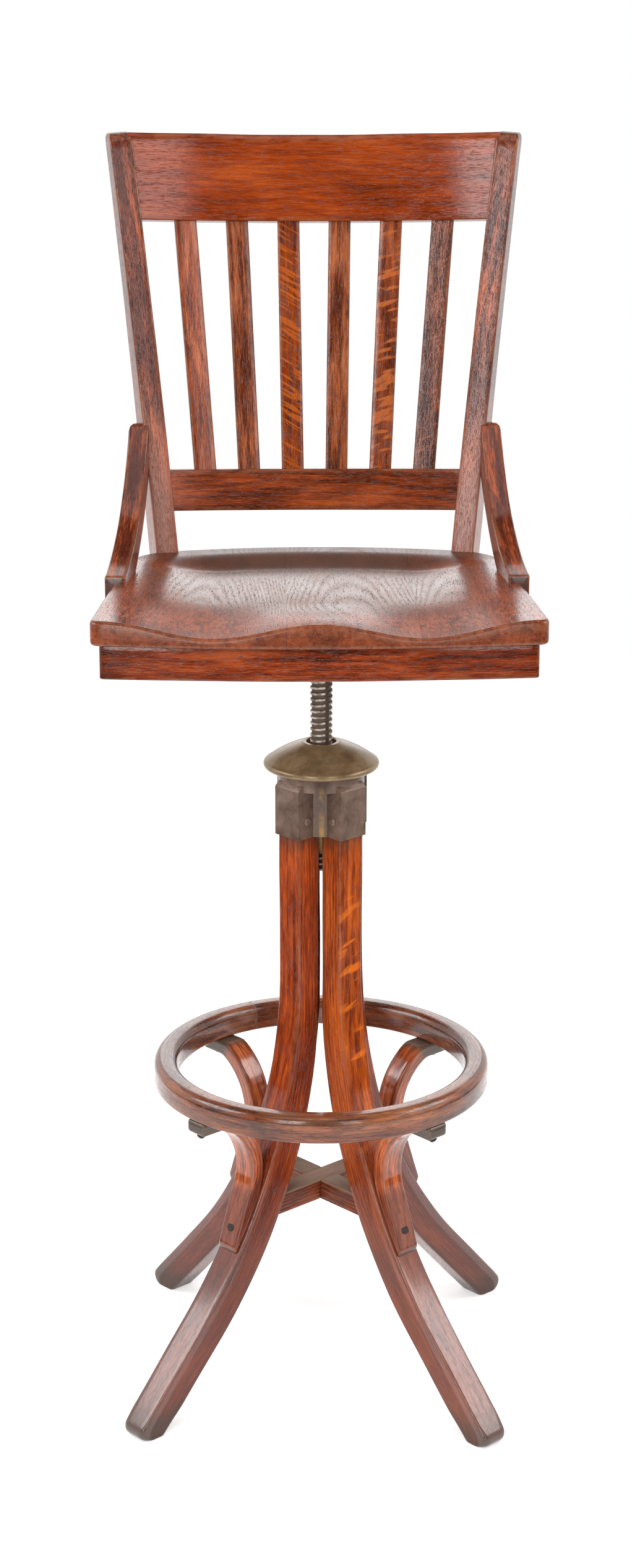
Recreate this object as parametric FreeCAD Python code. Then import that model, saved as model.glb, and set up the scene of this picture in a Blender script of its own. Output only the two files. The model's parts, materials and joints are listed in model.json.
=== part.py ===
# Draughtsman's chair: a saddle seat with a slatted back on a keyed lifting screw,
# carried by four bent legs with a foot ring.
# Millimetres, +Z up, the front of the chair faces -Y. Sizes are about the lifting screw, with heights from a
# datum just above the floor; the pieces are exported with the floor at Z = 0.
import FreeCAD, Part
import math
import os

Vec = FreeCAD.Vector
ORIGIN = Vec(0, 0, 0)
UP = Vec(0, 0, 1)
ACROSS = Vec(1, 0, 0)
REACH = 600.0  # longer than any cut has to be

# Placing
AXIS = Vec(4.5, -26.2, 6.0)  # the screw's place and the datum's height; the origin is under the seat's middle
FLOOR_Z = -AXIS.z
BASE_TURN = -3.0  # how far the base is turned against the seat, degrees
CORNERS = {"front_left": 225.0, "front_right": 315.0, "back_right": 45.0, "back_left": 135.0}

# Legs: each face is a straight shank, an arc and a straight foot
LEG_WIDTH = 32.0
LEG_TOP_Z = 648.0
LEG_OUTER = {"shank_r": 46.0, "bend_z": 465.0, "bend_r": 550.0, "slope": 42.5}
LEG_INNER = {"shank_r": 17.6, "bend_z": 430.0, "bend_r": 510.0, "slope": 43.0}
TOE_RADIUS = 9.6

# Cross stretchers
STRETCHER_WIDTH = 24.0
STRETCHER_HEIGHT = 23.0
STRETCHER_Z = 193.0
STRETCHER_TENON = {"length": 14.0, "width": 12.0, "height": 13.0}

# Foot ring and its brackets
RING_OUTER_R = 178.8
RING_WIDTH = 24.7
RING_HEIGHT = 28.2
RING_Z = 328.0
RING_TOP_ROUND = 9.0
RING_FOOT_ROUND = 2.5
BRACKET_WIDTH = 26.0
BRACKET_THICK = 17.0
BRACKET_BEND_R = 80.0
BRACKET_LOW_Z = 166.0
BRACKET_LEAVES_Z = 221.0  # where the bracket leaves the leg
BRACKET_TIP_Z = 170.0
BRACKET_TIP_THICK = 6.5
BRACKET_END_R = 181.0
BRACKET_SEAT_Z = 313.5  # flat under the bracket's end, where the ring's screw sits
RING_SCREW = {"r": 169.5, "shank_r": 3.0, "head_r": 4.8, "head_drop": 6.0, "round": 2.5, "depth": 20.0}
BRACKET_SCREW = {"z": 188.0, "shank_r": 2.5, "head_r": 4.5, "head": 2.5, "proud": 0.6, "depth": 18.0}

# Leg collar casting
COLLAR_FOOT_Z = 609.5
COLLAR_TOP_Z = 674.0
COLLAR_POCKET_R = 48.8
COLLAR_POCKET_WIDTH = 35.6
COLLAR_SHOULDER_Z = (661.5, 666.5)  # the pockets' outer faces slope in to the neck between these
COLLAR_NECK_R = 45.0
COLLAR_NECK_LOW_Z = 660.0
COLLAR_CORE_R = 33.0
COLLAR_TUBE_R = 17.3
COLLAR_TUBE_Z = 588.0
COLLAR_BORE_R = 14.6
RIVET = {"z": 628.0, "at_r": 36.0, "shank_r": 3.0, "head_r": 4.6, "head": 2.4, "bevel": 1.6}

# Hub nut, dome and screw
SCREW_R = 11.7
SCREW_LOW_Z = 565.0
SCREW_SHOULDER_Z = 820.0
SCREW_TENON_R = 9.5
SCREW_TENON_Z = 842.0
SCREW_CHAMFER = 2.0
KEYWAY_WIDTH = 5.0
KEYWAY_DEPTH = 3.2
KEYWAY_ANGLE = -57.0  # towards the front right
THREAD_PLAY = 0.08
HUB_PLAY = 0.07
THRUST_GAP = 0.3
HUB_LOW_Z = 588.0
HUB_FLANGE_R = 27.0
HUB_FLANGE = 6.7
DOME_TOP_Z = 704.5
DOME_SHOULDER = (20.5, 704.0)
DOME_CROWN = (42.0, 694.9)
DOME_EDGE = (57.5, 684.7)
DOME_RIM = (60.2, 680.3)
DOME_LIP = (57.0, 677.0)
DOME_RECESS_R = 15.5
DOME_RECESS = 5.0
DOME_BORE_R = 12.1
DOME_WALL = 4.5
DOME_BOSS_R = 26.0
KEY_WIDTH = 4.6
KEY_INNER_R = 9.0
KEY_OUTER_R = 17.5
KEY_Z = (684.0, 694.0)

# Seat: everything under this heading is in the seat's own sloping frame, zero at the seat's underside
SEAT_Z = 848.4
SEAT_SLOPE = 2.5
SEAT_THICK = 28.0
SEAT_FRONT_HALF = 222.0
SEAT_FRONT_Y = -200.0
SEAT_FRONT_BOW = 21.0
SEAT_SIDE_HALF = 191.5  # half width where the sides would meet the back
SEAT_BACK_Y = 150.0
SEAT_BACK_BOW = 38.0
SEAT_FRONT_CORNER = 9.0
SEAT_BACK_CORNER = 34.0
SEAT_ARRIS = 3.0
SCOOP_DEPTH = 13.0
SCOOP_SIDE = (0.50, 1.0)  # the bowl rises to the sides between these shares of the half width
SCOOP_WALL_Y = 160.0
SCOOP_WALL_CURVE = 15.0
SCOOP_WALL_AT = 110.0
SCOOP_WALL_RUN = 42.0
THIGH_DEPTH = 14.5
THIGH_SPAN = 208.0
FRONT_DROP = 3.5
THIGH_RUN = (-222.0, -60.0)
SCOOP_HALF = 240.0
SCOOP_SPAN = (-245.0, 215.0)
SCOOP_COLUMNS = 33
SCOOP_ROWS = 32

# Seat frame
APRON_HEIGHT = 33.5
APRON_THICK = 22.0
APRON_HALF = 212.5
APRON_FRONT_Y = -195.0
APRON_BOW = 14.0
APRON_SIDE = ((205.0, -180.0), (174.0, 165.0))  # outer face of the right-hand rail
APRON_BACK_Y = 146.0
APRON_END_ROUND = 6.0

# Seat iron
IRON_PLATE = 7.0
IRON_BOSS_R = 24.0
IRON_ARM = {"length": 128.0, "root": 40.0, "tip": 26.0}
IRON_SCREW = {"radii": (70.0, 112.0), "shank_r": 2.5, "head_r": 5.0, "head": 3.0, "bevel": 1.5, "depth": 14.0}

# Back posts: outer front corner at the seat and at the top, and the section there
POST_FOOT = Vec(169.0, 150.0, 868.0)
POST_HEAD = Vec(215.7, 230.0, 1303.0)
POST_WIDTH = 24.0
POST_DEPTH = (44.0, 28.0)
POST_TOE = 14.0
POST_BEND = 7.5
POST_FOOT_DROP = 70.0
POST_HEAD_ROUND = 9.0

# Rails and slats
RAIL_BEND_R = 1080.0
RAIL_THICK = 19.0
RAIL_HALF = 232.0
RAIL_TENON = {"length": 13.0, "thick": 9.0, "shoulder": 8.0}
CREST = {"y": 233.0, "z": 1211.5, "height": 92.0, "lean": 13.6, "round": 5.0}
LOWER_RAIL = {"y": 174.0, "z": 911.5, "height": 44.0, "lean": 7.8}
SLAT_WIDTH = 23.5
SLAT_THICK = 9.0
SLAT_PITCH_TOP = 54.8
SLAT_PITCH_LOW = 46.9
SLAT_COUNT = 6
SLAT_SET_TOP = 5.0
SLAT_SET_LOW = 2.5
SLAT_MORTISE = 12.0

# Side braces: concentric band in an upright plane along the seat's side
BRACE_THICK = 21.3
BRACE_OUTER_X = 213.5  # outer face where Y = 0
BRACE_PLAN = 5.4
BRACE_BASE_Z = 850.0
BRACE_FRONT_A = -24.0
BRACE_FRONT_B = 35.0
BRACE_SLOPES = (7.0, 57.0)
BRACE_BEND_R = 270.0
BRACE_WIDTH = 31.0
BRACE_HEAD_ROUND = 11.0
BRACE_SCREWS = ((2.0, 20.0), (177.0, 138.0))
BRACE_SCREW = {"shank_r": 2.5, "head_r": 5.0, "head": 3.0, "proud": 0.4, "depth": 34.0}


def segment(a, b):
    """Straight edge."""
    return Part.makeLine(a, b)


def arc(a, middle, b):
    """Circular edge through three points."""
    return Part.Arc(a, middle, b).toShape()


def slab(edges, travel):
    """Solid swept straight from the face inside a closed chain of edges."""
    return Part.Face(Part.Wire(Part.__sortEdges__(edges))).extrude(travel)


def polygon(points):
    """Edges of a closed polygon."""
    return [segment(a, b) for a, b in zip(points, points[1:] + points[:1])]


def turned(shape, degrees):
    """Copy turned about the screw's axis."""
    copy = shape.copy()
    copy.rotate(ORIGIN, UP, degrees)
    return copy


def moved(shape, travel):
    """Copy moved straight."""
    copy = shape.copy()
    copy.translate(travel)
    return copy


def mirrored(shape):
    """Left-hand twin of a right-hand piece."""
    return shape.mirror(ORIGIN, ACROSS)


def rod(radius, start, end):
    """Cylinder between two points."""
    axis = end - start
    return Part.makeCylinder(radius, axis.Length, start, axis)


def cut_all(shape, tools):
    """Shape less every tool in turn."""
    return shape.cut(Part.makeCompound(tools))


def innermost(shape):
    """The one of a cut shape's solids that lies nearest the screw's axis in X."""
    return min(shape.Solids, key=lambda solid: abs(solid.CenterOfMass.x))


def upright_edges(shape):
    """Straight vertical edges."""
    return [edge for edge in shape.Edges if abs(edge.tangentAt(edge.FirstParameter).z) > 0.99]


def edges_at(shape, test):
    """Edges whose midpoint passes a test."""
    return [edge for edge in shape.Edges if test(edge.CenterOfMass)]


def smooth(low, high, value):
    """Eased step from 0 at low to 1 at high."""
    share = min(max((value - low) / (high - low), 0.0), 1.0)
    return share * share * (3 - 2 * share)


def seat_placed(shape):
    """Shape carried from the seat's frame to the chair's."""
    placing = FreeCAD.Placement(Vec(0, 0, SEAT_Z), FreeCAD.Rotation(ACROSS, -SEAT_SLOPE))
    return shape.transformed(placing.toMatrix())


def leg_angle(corner):
    """Direction of a leg from the screw, degrees."""
    return CORNERS[corner] + BASE_TURN


# Legs, stretchers, ring and brackets


def leg_face(shank_r, bend_z, bend_r, slope):
    """One face of a leg in its radial plane, from the top to the floor, and its two ends."""
    angle = math.radians(slope)
    centre = Vec(shank_r + bend_r, 0, bend_z)
    top = Vec(shank_r, 0, LEG_TOP_Z)
    start = Vec(shank_r, 0, bend_z)
    middle = centre - bend_r * Vec(math.cos(angle / 2), 0, math.sin(angle / 2))
    end = centre - bend_r * Vec(math.cos(angle), 0, math.sin(angle))
    foot = Vec(end.x + (end.z - FLOOR_Z) * math.tan(angle), 0, FLOOR_Z)
    return [segment(top, start), arc(start, middle, end), segment(end, foot)], top, foot


def plain_leg():
    """Leg bar pointing along +X, before its joints are cut."""
    outer, outer_top, outer_foot = leg_face(**LEG_OUTER)
    inner, inner_top, inner_foot = leg_face(**LEG_INNER)
    edges = outer + inner + [segment(outer_top, inner_top), segment(outer_foot, inner_foot)]
    bar = slab(edges, Vec(0, LEG_WIDTH, 0))
    bar.translate(Vec(0, -LEG_WIDTH / 2, 0))
    toe = edges_at(bar, lambda p: abs(p.z - FLOOR_Z) < 0.01 and abs(p.x - outer_foot.x) < 0.01)
    return bar.makeFillet(TOE_RADIUS, toe)


def leg_outer_r(z):
    """Radius of a leg's outer face within its bend."""
    drop = LEG_OUTER["bend_z"] - z
    bend_r = LEG_OUTER["bend_r"]
    return LEG_OUTER["shank_r"] + bend_r - math.sqrt(bend_r**2 - drop**2)


def leg_outer_point(z):
    """Point of a leg's outer face in its radial plane."""
    return Vec(leg_outer_r(z), 0, z)


def leg_outer_normal(z):
    """Outward normal of a leg's outer face in its radial plane."""
    angle = math.asin((LEG_OUTER["bend_z"] - z) / LEG_OUTER["bend_r"])
    return Vec(math.cos(angle), 0, math.sin(angle))


def plain_stretcher():
    """Straight bar along X with a tenon at each end, long enough to reach into the legs."""
    half = 130.0
    bar = Part.makeBox(2 * half, STRETCHER_WIDTH, STRETCHER_HEIGHT)
    return moved(bar, Vec(-half, -STRETCHER_WIDTH / 2, STRETCHER_Z))


def stretcher_tenon(leg):
    """Tenon along +X, ending a fixed depth inside a leg's inner face."""
    width, height = STRETCHER_TENON["width"], STRETCHER_TENON["height"]
    low = STRETCHER_Z + (STRETCHER_HEIGHT - height) / 2
    start = 30.0
    bar = Part.makeBox(100.0, width, height, Vec(start, -width / 2, low))
    reach = innermost(bar.cut(leg)).BoundBox.XMax
    return Part.makeBox(reach + STRETCHER_TENON["length"] - start, width, height, Vec(start, -width / 2, low))


def ring():
    """Bent foot ring, its section turned about the screw's axis."""
    inner_r = RING_OUTER_R - RING_WIDTH
    top = RING_Z + RING_HEIGHT
    corners = ((inner_r, RING_Z), (RING_OUTER_R, RING_Z), (RING_OUTER_R, top), (inner_r, top))
    section = polygon([Vec(r, 0, z) for r, z in corners])
    body = Part.Face(Part.Wire(section)).revolve(ORIGIN, UP, 360)
    body = body.makeFillet(RING_TOP_ROUND, edges_at(body, lambda p: abs(p.z - top) < 0.01))
    return body.makeFillet(RING_FOOT_ROUND, edges_at(body, lambda p: abs(p.z - RING_Z) < 0.01))


def bracket_bend():
    """Centre of the bracket's bend and the normal of the leg where the bracket leaves it."""
    normal = leg_outer_normal(BRACKET_LEAVES_Z)
    return leg_outer_point(BRACKET_LEAVES_Z) + BRACKET_BEND_R * normal, normal


def on_circle(centre, radius, z):
    """Point of a circle in the radial plane at a given height, on the side of the screw."""
    return Vec(centre.x - math.sqrt(radius**2 - (z - centre.z) ** 2), 0, z)


def plain_bracket():
    """Bent bracket on +X: lies on the leg, sweeps outwards and is planed flat under the ring."""
    centre, normal = bracket_bend()
    under_r = BRACKET_BEND_R - BRACKET_THICK
    low = leg_outer_point(BRACKET_LOW_Z)
    leaves = leg_outer_point(BRACKET_LEAVES_Z)
    on_leg = arc(low, leg_outer_point((BRACKET_LOW_Z + BRACKET_LEAVES_Z) / 2), leaves)
    flat = on_circle(centre, BRACKET_BEND_R, RING_Z)
    upper = arc(leaves, centre - Vec(BRACKET_BEND_R, 0, 0), flat)
    end_top = Vec(BRACKET_END_R, 0, RING_Z)
    end_low = Vec(BRACKET_END_R, 0, BRACKET_SEAT_Z)
    seat = on_circle(centre, under_r, BRACKET_SEAT_Z)
    under_end = centre - under_r * normal
    under = arc(seat, centre - Vec(under_r, 0, 0), under_end)
    tip = leg_outer_point(BRACKET_TIP_Z) + BRACKET_TIP_THICK * leg_outer_normal(BRACKET_TIP_Z)
    bulge = (tip + low) * 0.5 + Vec(1.4, 0, -1.8)
    edges = [on_leg, upper, segment(flat, end_top), segment(end_top, end_low), segment(end_low, seat), under]
    edges += [segment(under_end, tip), arc(tip, bulge, low)]
    body = slab(edges, Vec(0, BRACKET_WIDTH, 0))
    return moved(body, Vec(0, -BRACKET_WIDTH / 2, 0))


def ring_screw(bracket):
    """Round-head screw up through the bracket's end into the ring."""
    foot = Vec(RING_SCREW["r"], 0, BRACKET_SEAT_Z)
    top = Vec(foot.x, 0, RING_Z + RING_SCREW["depth"])
    head = rod(RING_SCREW["head_r"], foot - RING_SCREW["head_drop"] * UP, foot + 2 * UP)
    rim = edges_at(head, lambda p: p.z < foot.z - RING_SCREW["head_drop"] + 0.01)
    head = head.makeChamfer(RING_SCREW["round"], rim[:1])
    return head.cut(bracket).fuse(rod(RING_SCREW["shank_r"], foot - UP, top)).removeSplitter()


def bracket_screw(bracket):
    """Flat-head screw through the bracket's lower end into the leg."""
    point = leg_outer_point(BRACKET_SCREW["z"])
    normal = leg_outer_normal(BRACKET_SCREW["z"])
    face = bracket.common(rod(0.5, point, point + 60 * normal)).Volume / (math.pi * 0.25)
    outside = point + (face + BRACKET_SCREW["proud"]) * normal
    head = rod(BRACKET_SCREW["head_r"], outside - BRACKET_SCREW["head"] * normal, outside)
    shank = rod(BRACKET_SCREW["shank_r"], point - BRACKET_SCREW["depth"] * normal, outside)
    return head.fuse(shank).removeSplitter()


def plain_rivet():
    """Cross rivet through a pocket and its leg top, with a head each side."""
    half = COLLAR_POCKET_WIDTH / 2
    centre = Vec(RIVET["at_r"], 0, RIVET["z"])
    side = Vec(0, 1, 0)
    shank = rod(RIVET["shank_r"], centre - half * side, centre + half * side)
    heads = []
    for way in (-1, 1):
        head = rod(RIVET["head_r"], centre + way * half * side, centre + way * (half + RIVET["head"]) * side)
        rim = edges_at(head, lambda p: abs(p.y) > half + RIVET["head"] - 0.01)
        heads.append(head.makeChamfer(RIVET["bevel"], rim[:1]))
    return shank.fuse(heads).removeSplitter()


# Collar, hub nut, dome and screw


def collar(leg_tops):
    """Cast collar: two crossing pocket bars, a core and a round neck, bored for the hub, pocketed for legs."""
    low, high = COLLAR_SHOULDER_Z
    outline = [(COLLAR_POCKET_R, COLLAR_FOOT_Z), (COLLAR_POCKET_R, low), (COLLAR_NECK_R - 1, high)]
    points = [Vec(x, 0, z) for x, z in outline] + [Vec(-x, 0, z) for x, z in reversed(outline)]
    bar = slab(polygon(points), Vec(0, COLLAR_POCKET_WIDTH, 0))
    bar.translate(Vec(0, -COLLAR_POCKET_WIDTH / 2, 0))
    angle = leg_angle("front_right")
    core = rod(COLLAR_CORE_R, Vec(0, 0, COLLAR_FOOT_Z), Vec(0, 0, COLLAR_TOP_Z))
    neck = rod(COLLAR_NECK_R, Vec(0, 0, COLLAR_NECK_LOW_Z), Vec(0, 0, COLLAR_TOP_Z))
    tube = rod(COLLAR_TUBE_R, Vec(0, 0, COLLAR_TUBE_Z), Vec(0, 0, COLLAR_TOP_Z))
    body = core.fuse([turned(bar, angle), turned(bar, angle + 90), neck, tube]).removeSplitter()
    bore = rod(COLLAR_BORE_R, Vec(0, 0, COLLAR_TUBE_Z), Vec(0, 0, COLLAR_TOP_Z))
    return cut_all(body, leg_tops + [bore])


def revolved(points):
    """Solid of revolution about the screw's axis from a closed outline of (radius, height) points."""
    return Part.Face(Part.Wire(polygon([Vec(r, 0, z) for r, z in points]))).revolve(ORIGIN, UP, 360)


def hub_nut():
    """Flanged sleeve that turns in the collar and carries the screw's thread."""
    sleeve_r = COLLAR_BORE_R - HUB_PLAY
    bore_r = SCREW_R + THREAD_PLAY
    seat_z = COLLAR_TOP_Z + THRUST_GAP
    return revolved([
        (bore_r, HUB_LOW_Z), (sleeve_r, HUB_LOW_Z), (sleeve_r, seat_z), (HUB_FLANGE_R, seat_z),
        (HUB_FLANGE_R, seat_z + HUB_FLANGE), (bore_r, seat_z + HUB_FLANGE)])


def key():
    """Key that rides in the screw's keyway."""
    block = Part.makeBox(
        KEY_OUTER_R - KEY_INNER_R, KEY_WIDTH, KEY_Z[1] - KEY_Z[0], Vec(KEY_INNER_R, -KEY_WIDTH / 2, KEY_Z[0]))
    return turned(block, KEYWAY_ANGLE)


def dome(key_block):
    """Domed cap: one sweep from its shoulder to a rounded rim, hollow, with a bored boss for screw and key."""
    recess_z = DOME_TOP_Z - DOME_RECESS
    boss_z = COLLAR_TOP_Z + 2 * THRUST_GAP + HUB_FLANGE
    shoulder, crown, edge, rim, lip = (
        Vec(r, 0, z) for r, z in (DOME_SHOULDER, DOME_CROWN, DOME_EDGE, DOME_RIM, DOME_LIP))
    inner_lip = lip - Vec(DOME_WALL, 0, 0)
    inner_crown = crown - Vec(0, 0, DOME_WALL + 1)
    inner_root = Vec(DOME_BOSS_R, 0, crown.z)
    profile = [
        inner_root, Vec(DOME_BOSS_R, 0, boss_z), Vec(DOME_BORE_R, 0, boss_z), Vec(DOME_BORE_R, 0, recess_z),
        Vec(DOME_RECESS_R, 0, recess_z), Vec(DOME_RECESS_R, 0, DOME_TOP_Z), shoulder]
    edges = [segment(a, b) for a, b in zip(profile, profile[1:])]
    edges += [arc(shoulder, crown, edge), arc(edge, rim, lip), segment(lip, inner_lip)]
    edges.append(arc(inner_lip, inner_crown, inner_root))
    body = Part.Face(Part.Wire(edges)).revolve(ORIGIN, UP, 360)
    return body.cut(key_block)


def height_screw():
    """Lifting screw with its keyway and the tenon that is riveted into the seat iron."""
    body = rod(SCREW_R, Vec(0, 0, SCREW_LOW_Z), Vec(0, 0, SCREW_SHOULDER_Z))
    body = body.makeChamfer(SCREW_CHAMFER, edges_at(body, lambda p: p.z < SCREW_LOW_Z + 0.01)[:1])
    corner = Vec(SCREW_R - KEYWAY_DEPTH, -KEYWAY_WIDTH / 2, SCREW_LOW_Z - 10)
    slot = Part.makeBox(KEYWAY_DEPTH + 5, KEYWAY_WIDTH, REACH, corner)
    body = body.cut(turned(slot, KEYWAY_ANGLE))
    tenon = rod(SCREW_TENON_R, Vec(0, 0, SCREW_SHOULDER_Z - 1), Vec(0, 0, SCREW_TENON_Z))
    return body.fuse(tenon).removeSplitter()


# Seat, seat frame and seat iron


def seat_half(y):
    """Half width of the seat at a distance from the screw."""
    run = (y - SEAT_FRONT_Y) / (SEAT_BACK_Y - SEAT_FRONT_Y)
    return SEAT_FRONT_HALF + (SEAT_SIDE_HALF - SEAT_FRONT_HALF) * run


def scoop_depth(x, y):
    """Carved depth: a bowl with a curved rear wall, and two thigh hollows beside a pommel in front."""
    side = abs(x) / seat_half(min(max(y, SEAT_FRONT_Y), SEAT_BACK_Y))
    wall_y = SCOOP_WALL_Y - SCOOP_WALL_CURVE * (x / SCOOP_WALL_AT) ** 2
    bowl = SCOOP_DEPTH * (1 - smooth(SCOOP_SIDE[0], SCOOP_SIDE[1], side))
    bowl *= 1 - smooth(wall_y - SCOOP_WALL_RUN, wall_y, y)
    hollow = math.sin(math.pi * min(abs(x) / THIGH_SPAN, 1.0)) ** 2
    front = FRONT_DROP + THIGH_DEPTH * hollow
    share = smooth(THIGH_RUN[0], THIGH_RUN[1], y)
    return (1 - share) * front + share * bowl


def carving():
    """Solid above the carved top: one smooth surface through a grid of depths, raised."""
    x_step = 2 * SCOOP_HALF / (SCOOP_COLUMNS - 1)
    y_step = (SCOOP_SPAN[1] - SCOOP_SPAN[0]) / (SCOOP_ROWS - 1)
    columns = [-SCOOP_HALF + x_step * i for i in range(SCOOP_COLUMNS)]
    rows = [SCOOP_SPAN[0] + y_step * i for i in range(SCOOP_ROWS)]
    surface = Part.BSplineSurface()
    surface.interpolate([[Vec(x, y, SEAT_THICK - scoop_depth(x, y)) for y in rows] for x in columns])
    return surface.toShape().extrude(Vec(0, 0, 3 * SEAT_THICK))


def seat_outline():
    """Edges of the seat's plan: bowed front, tapering sides and bowed back."""
    front_left = Vec(-SEAT_FRONT_HALF, SEAT_FRONT_Y, 0)
    front_right = Vec(SEAT_FRONT_HALF, SEAT_FRONT_Y, 0)
    back_right = Vec(SEAT_SIDE_HALF, SEAT_BACK_Y, 0)
    back_left = Vec(-SEAT_SIDE_HALF, SEAT_BACK_Y, 0)
    front = arc(front_left, Vec(0, SEAT_FRONT_Y - SEAT_FRONT_BOW, 0), front_right)
    back = arc(back_right, Vec(0, SEAT_BACK_Y + SEAT_BACK_BOW, 0), back_left)
    return [front, segment(front_right, back_right), back, segment(back_left, front_left)]


def plain_seat():
    """Saddle seat before its joints are cut: a board in plan, carved on top."""
    board = slab(seat_outline(), Vec(0, 0, 2 * SEAT_THICK))
    board = board.makeFillet(SEAT_FRONT_CORNER, [e for e in upright_edges(board) if e.CenterOfMass.y < 0])
    board = board.makeFillet(SEAT_BACK_CORNER, [e for e in upright_edges(board) if e.CenterOfMass.y > 100])
    board = board.makeFillet(SEAT_ARRIS, edges_at(board, lambda p: abs(p.z) < 0.01))
    board = board.cut(carving())
    rim = [e for e in board.Edges if e.BoundBox.ZMin > SEAT_ARRIS + 0.5 and e not in upright_edges(board)]
    return board.makeFillet(SEAT_ARRIS, rim)


def bowed_bar(half, bow_centre_y, radius, thick, height):
    """Bar between two concentric arcs in plan; a positive radius bows the middle towards -Y."""
    way = 1 if radius > 0 else -1
    centre = Vec(0, bow_centre_y + radius, 0)
    near, far = abs(radius), abs(radius) - way * thick
    edges = []
    ends = []
    for r in (near, far):
        angle = math.asin(half / r)
        left = centre + Vec(-r * math.sin(angle), -way * r * math.cos(angle), 0)
        right = centre + Vec(r * math.sin(angle), -way * r * math.cos(angle), 0)
        edges.append(arc(left, centre + Vec(0, -way * r, 0), right))
        ends.append((left, right))
    edges.append(segment(ends[0][0], ends[1][0]))
    edges.append(segment(ends[0][1], ends[1][1]))
    return slab(edges, Vec(0, 0, height))


def plain_aprons():
    """Front, right, left and back rails of the seat frame, before the posts are cut in."""
    radius = (APRON_HALF**2 + APRON_BOW**2) / (2 * APRON_BOW)
    front = bowed_bar(APRON_HALF, APRON_FRONT_Y - APRON_BOW, radius, APRON_THICK, APRON_HEIGHT)
    front = front.makeFillet(APRON_END_ROUND, upright_edges(front))
    start, end = (Vec(x, y, 0) for x, y in APRON_SIDE)
    inward = (end - start).cross(UP).normalize() * -APRON_THICK
    side = slab(polygon([start, end, end + inward, start + inward]), Vec(0, 0, APRON_HEIGHT))
    side = side.cut(front)
    half = APRON_SIDE[1][0]
    back = Part.makeBox(2 * half, APRON_THICK, APRON_HEIGHT, Vec(-half, APRON_BACK_Y, 0))
    rails = {"front": front, "right": side, "left": mirrored(side), "back": back}
    drop = Vec(0, 0, -APRON_HEIGHT)
    for rail in rails.values():
        rail.translate(drop)
    rails["back"] = rails["back"].cut(rails["right"]).cut(rails["left"])
    return rails


def plain_iron():
    """Four-arm iron: tapered arms on a plate, in the seat's frame."""
    root, tip, length = IRON_ARM["root"] / 2, IRON_ARM["tip"] / 2, IRON_ARM["length"]
    points = [Vec(0, -root, 0), Vec(length, -tip, 0), Vec(length, tip, 0), Vec(0, root, 0)]
    arm = slab(polygon(points), Vec(0, 0, IRON_PLATE))
    ends = [edge for edge in upright_edges(arm) if edge.CenterOfMass.x > length - 0.01]
    arm = arm.makeFillet(tip * 0.9, ends)
    arm.translate(Vec(0, 0, -IRON_PLATE))
    hub = Part.makeCylinder(IRON_BOSS_R + 6, IRON_PLATE, Vec(0, 0, -IRON_PLATE))
    return hub.fuse([turned(arm, 45 + 90 * i) for i in range(4)]).removeSplitter()


def iron_screws():
    """Screws up through the iron's arms into the seat, in the seat's frame."""
    screws = []
    for quarter in range(4):
        for radius in IRON_SCREW["radii"]:
            foot = Vec(radius, 0, -IRON_PLATE)
            head = rod(IRON_SCREW["head_r"], foot - IRON_SCREW["head"] * UP, foot)
            rim = edges_at(head, lambda p: p.z < foot.z - IRON_SCREW["head"] + 0.01)
            head = head.makeChamfer(IRON_SCREW["bevel"], rim[:1])
            shank = rod(IRON_SCREW["shank_r"], foot, Vec(radius, 0, IRON_SCREW["depth"]))
            screws.append(turned(head.fuse(shank).removeSplitter(), 45 + 90 * quarter))
    return screws


def seat_iron():
    """Seat iron with its upright boss, bored for the screw's tenon."""
    plate = seat_placed(plain_iron())
    boss = rod(IRON_BOSS_R, Vec(0, 0, SCREW_SHOULDER_Z), Vec(0, 0, SEAT_Z + 10))
    above = seat_placed(Part.makeBox(2 * REACH, 2 * REACH, 200, Vec(-REACH, -REACH, 0)))
    body = plate.fuse(boss.cut(above)).removeSplitter()
    return body.cut(rod(SCREW_TENON_R, Vec(0, 0, SCREW_SHOULDER_Z - 1), Vec(0, 0, SCREW_TENON_Z)))


# Back: posts, rails, slats and braces


def plain_post():
    """Right-hand back post: bent to the back, tapering in depth, toed in, rounded over at its head."""
    toe = math.radians(POST_TOE)
    travel = POST_HEAD - POST_FOOT
    lean = travel.y * math.cos(toe) + travel.x * math.sin(toe)
    splay = travel.x * math.cos(toe) - travel.y * math.sin(toe)
    height = travel.z

    def bent(foot_y, head_y):
        """Points of one face: dropped foot, seat level, middle and head."""
        slope = (head_y - foot_y - 4 * POST_BEND) / height
        drop = Vec(0, foot_y - slope * POST_FOOT_DROP, -POST_FOOT_DROP)
        middle = Vec(0, (foot_y + head_y) / 2 - POST_BEND, height / 2)
        return drop, Vec(0, foot_y, 0), middle, Vec(0, head_y, height)

    front = bent(0.0, lean)
    back = bent(POST_DEPTH[0], lean + POST_DEPTH[1])
    edges = [segment(front[0], front[1]), arc(*front[1:]), segment(back[0], back[1]), arc(*back[1:])]
    edges += [segment(front[0], back[0]), segment(front[3], back[3])]
    body = slab(edges, Vec(-POST_WIDTH, 0, 0))
    top = edges_at(body, lambda p: p.z > height - 0.01)
    head = [e for e in top if abs(e.tangentAt(e.FirstParameter).x) > 0.99]
    body = body.makeFillet(POST_HEAD_ROUND, head)
    body.rotate(ORIGIN, Vec(0, 1, 0), math.degrees(math.atan2(splay, height)))
    body.rotate(ORIGIN, UP, -POST_TOE)
    body.translate(POST_FOOT)
    below = seat_placed(Part.makeBox(2 * REACH, 2 * REACH, 200, Vec(-REACH, -REACH, -200 - APRON_HEIGHT)))
    return body.cut(below)


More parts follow.
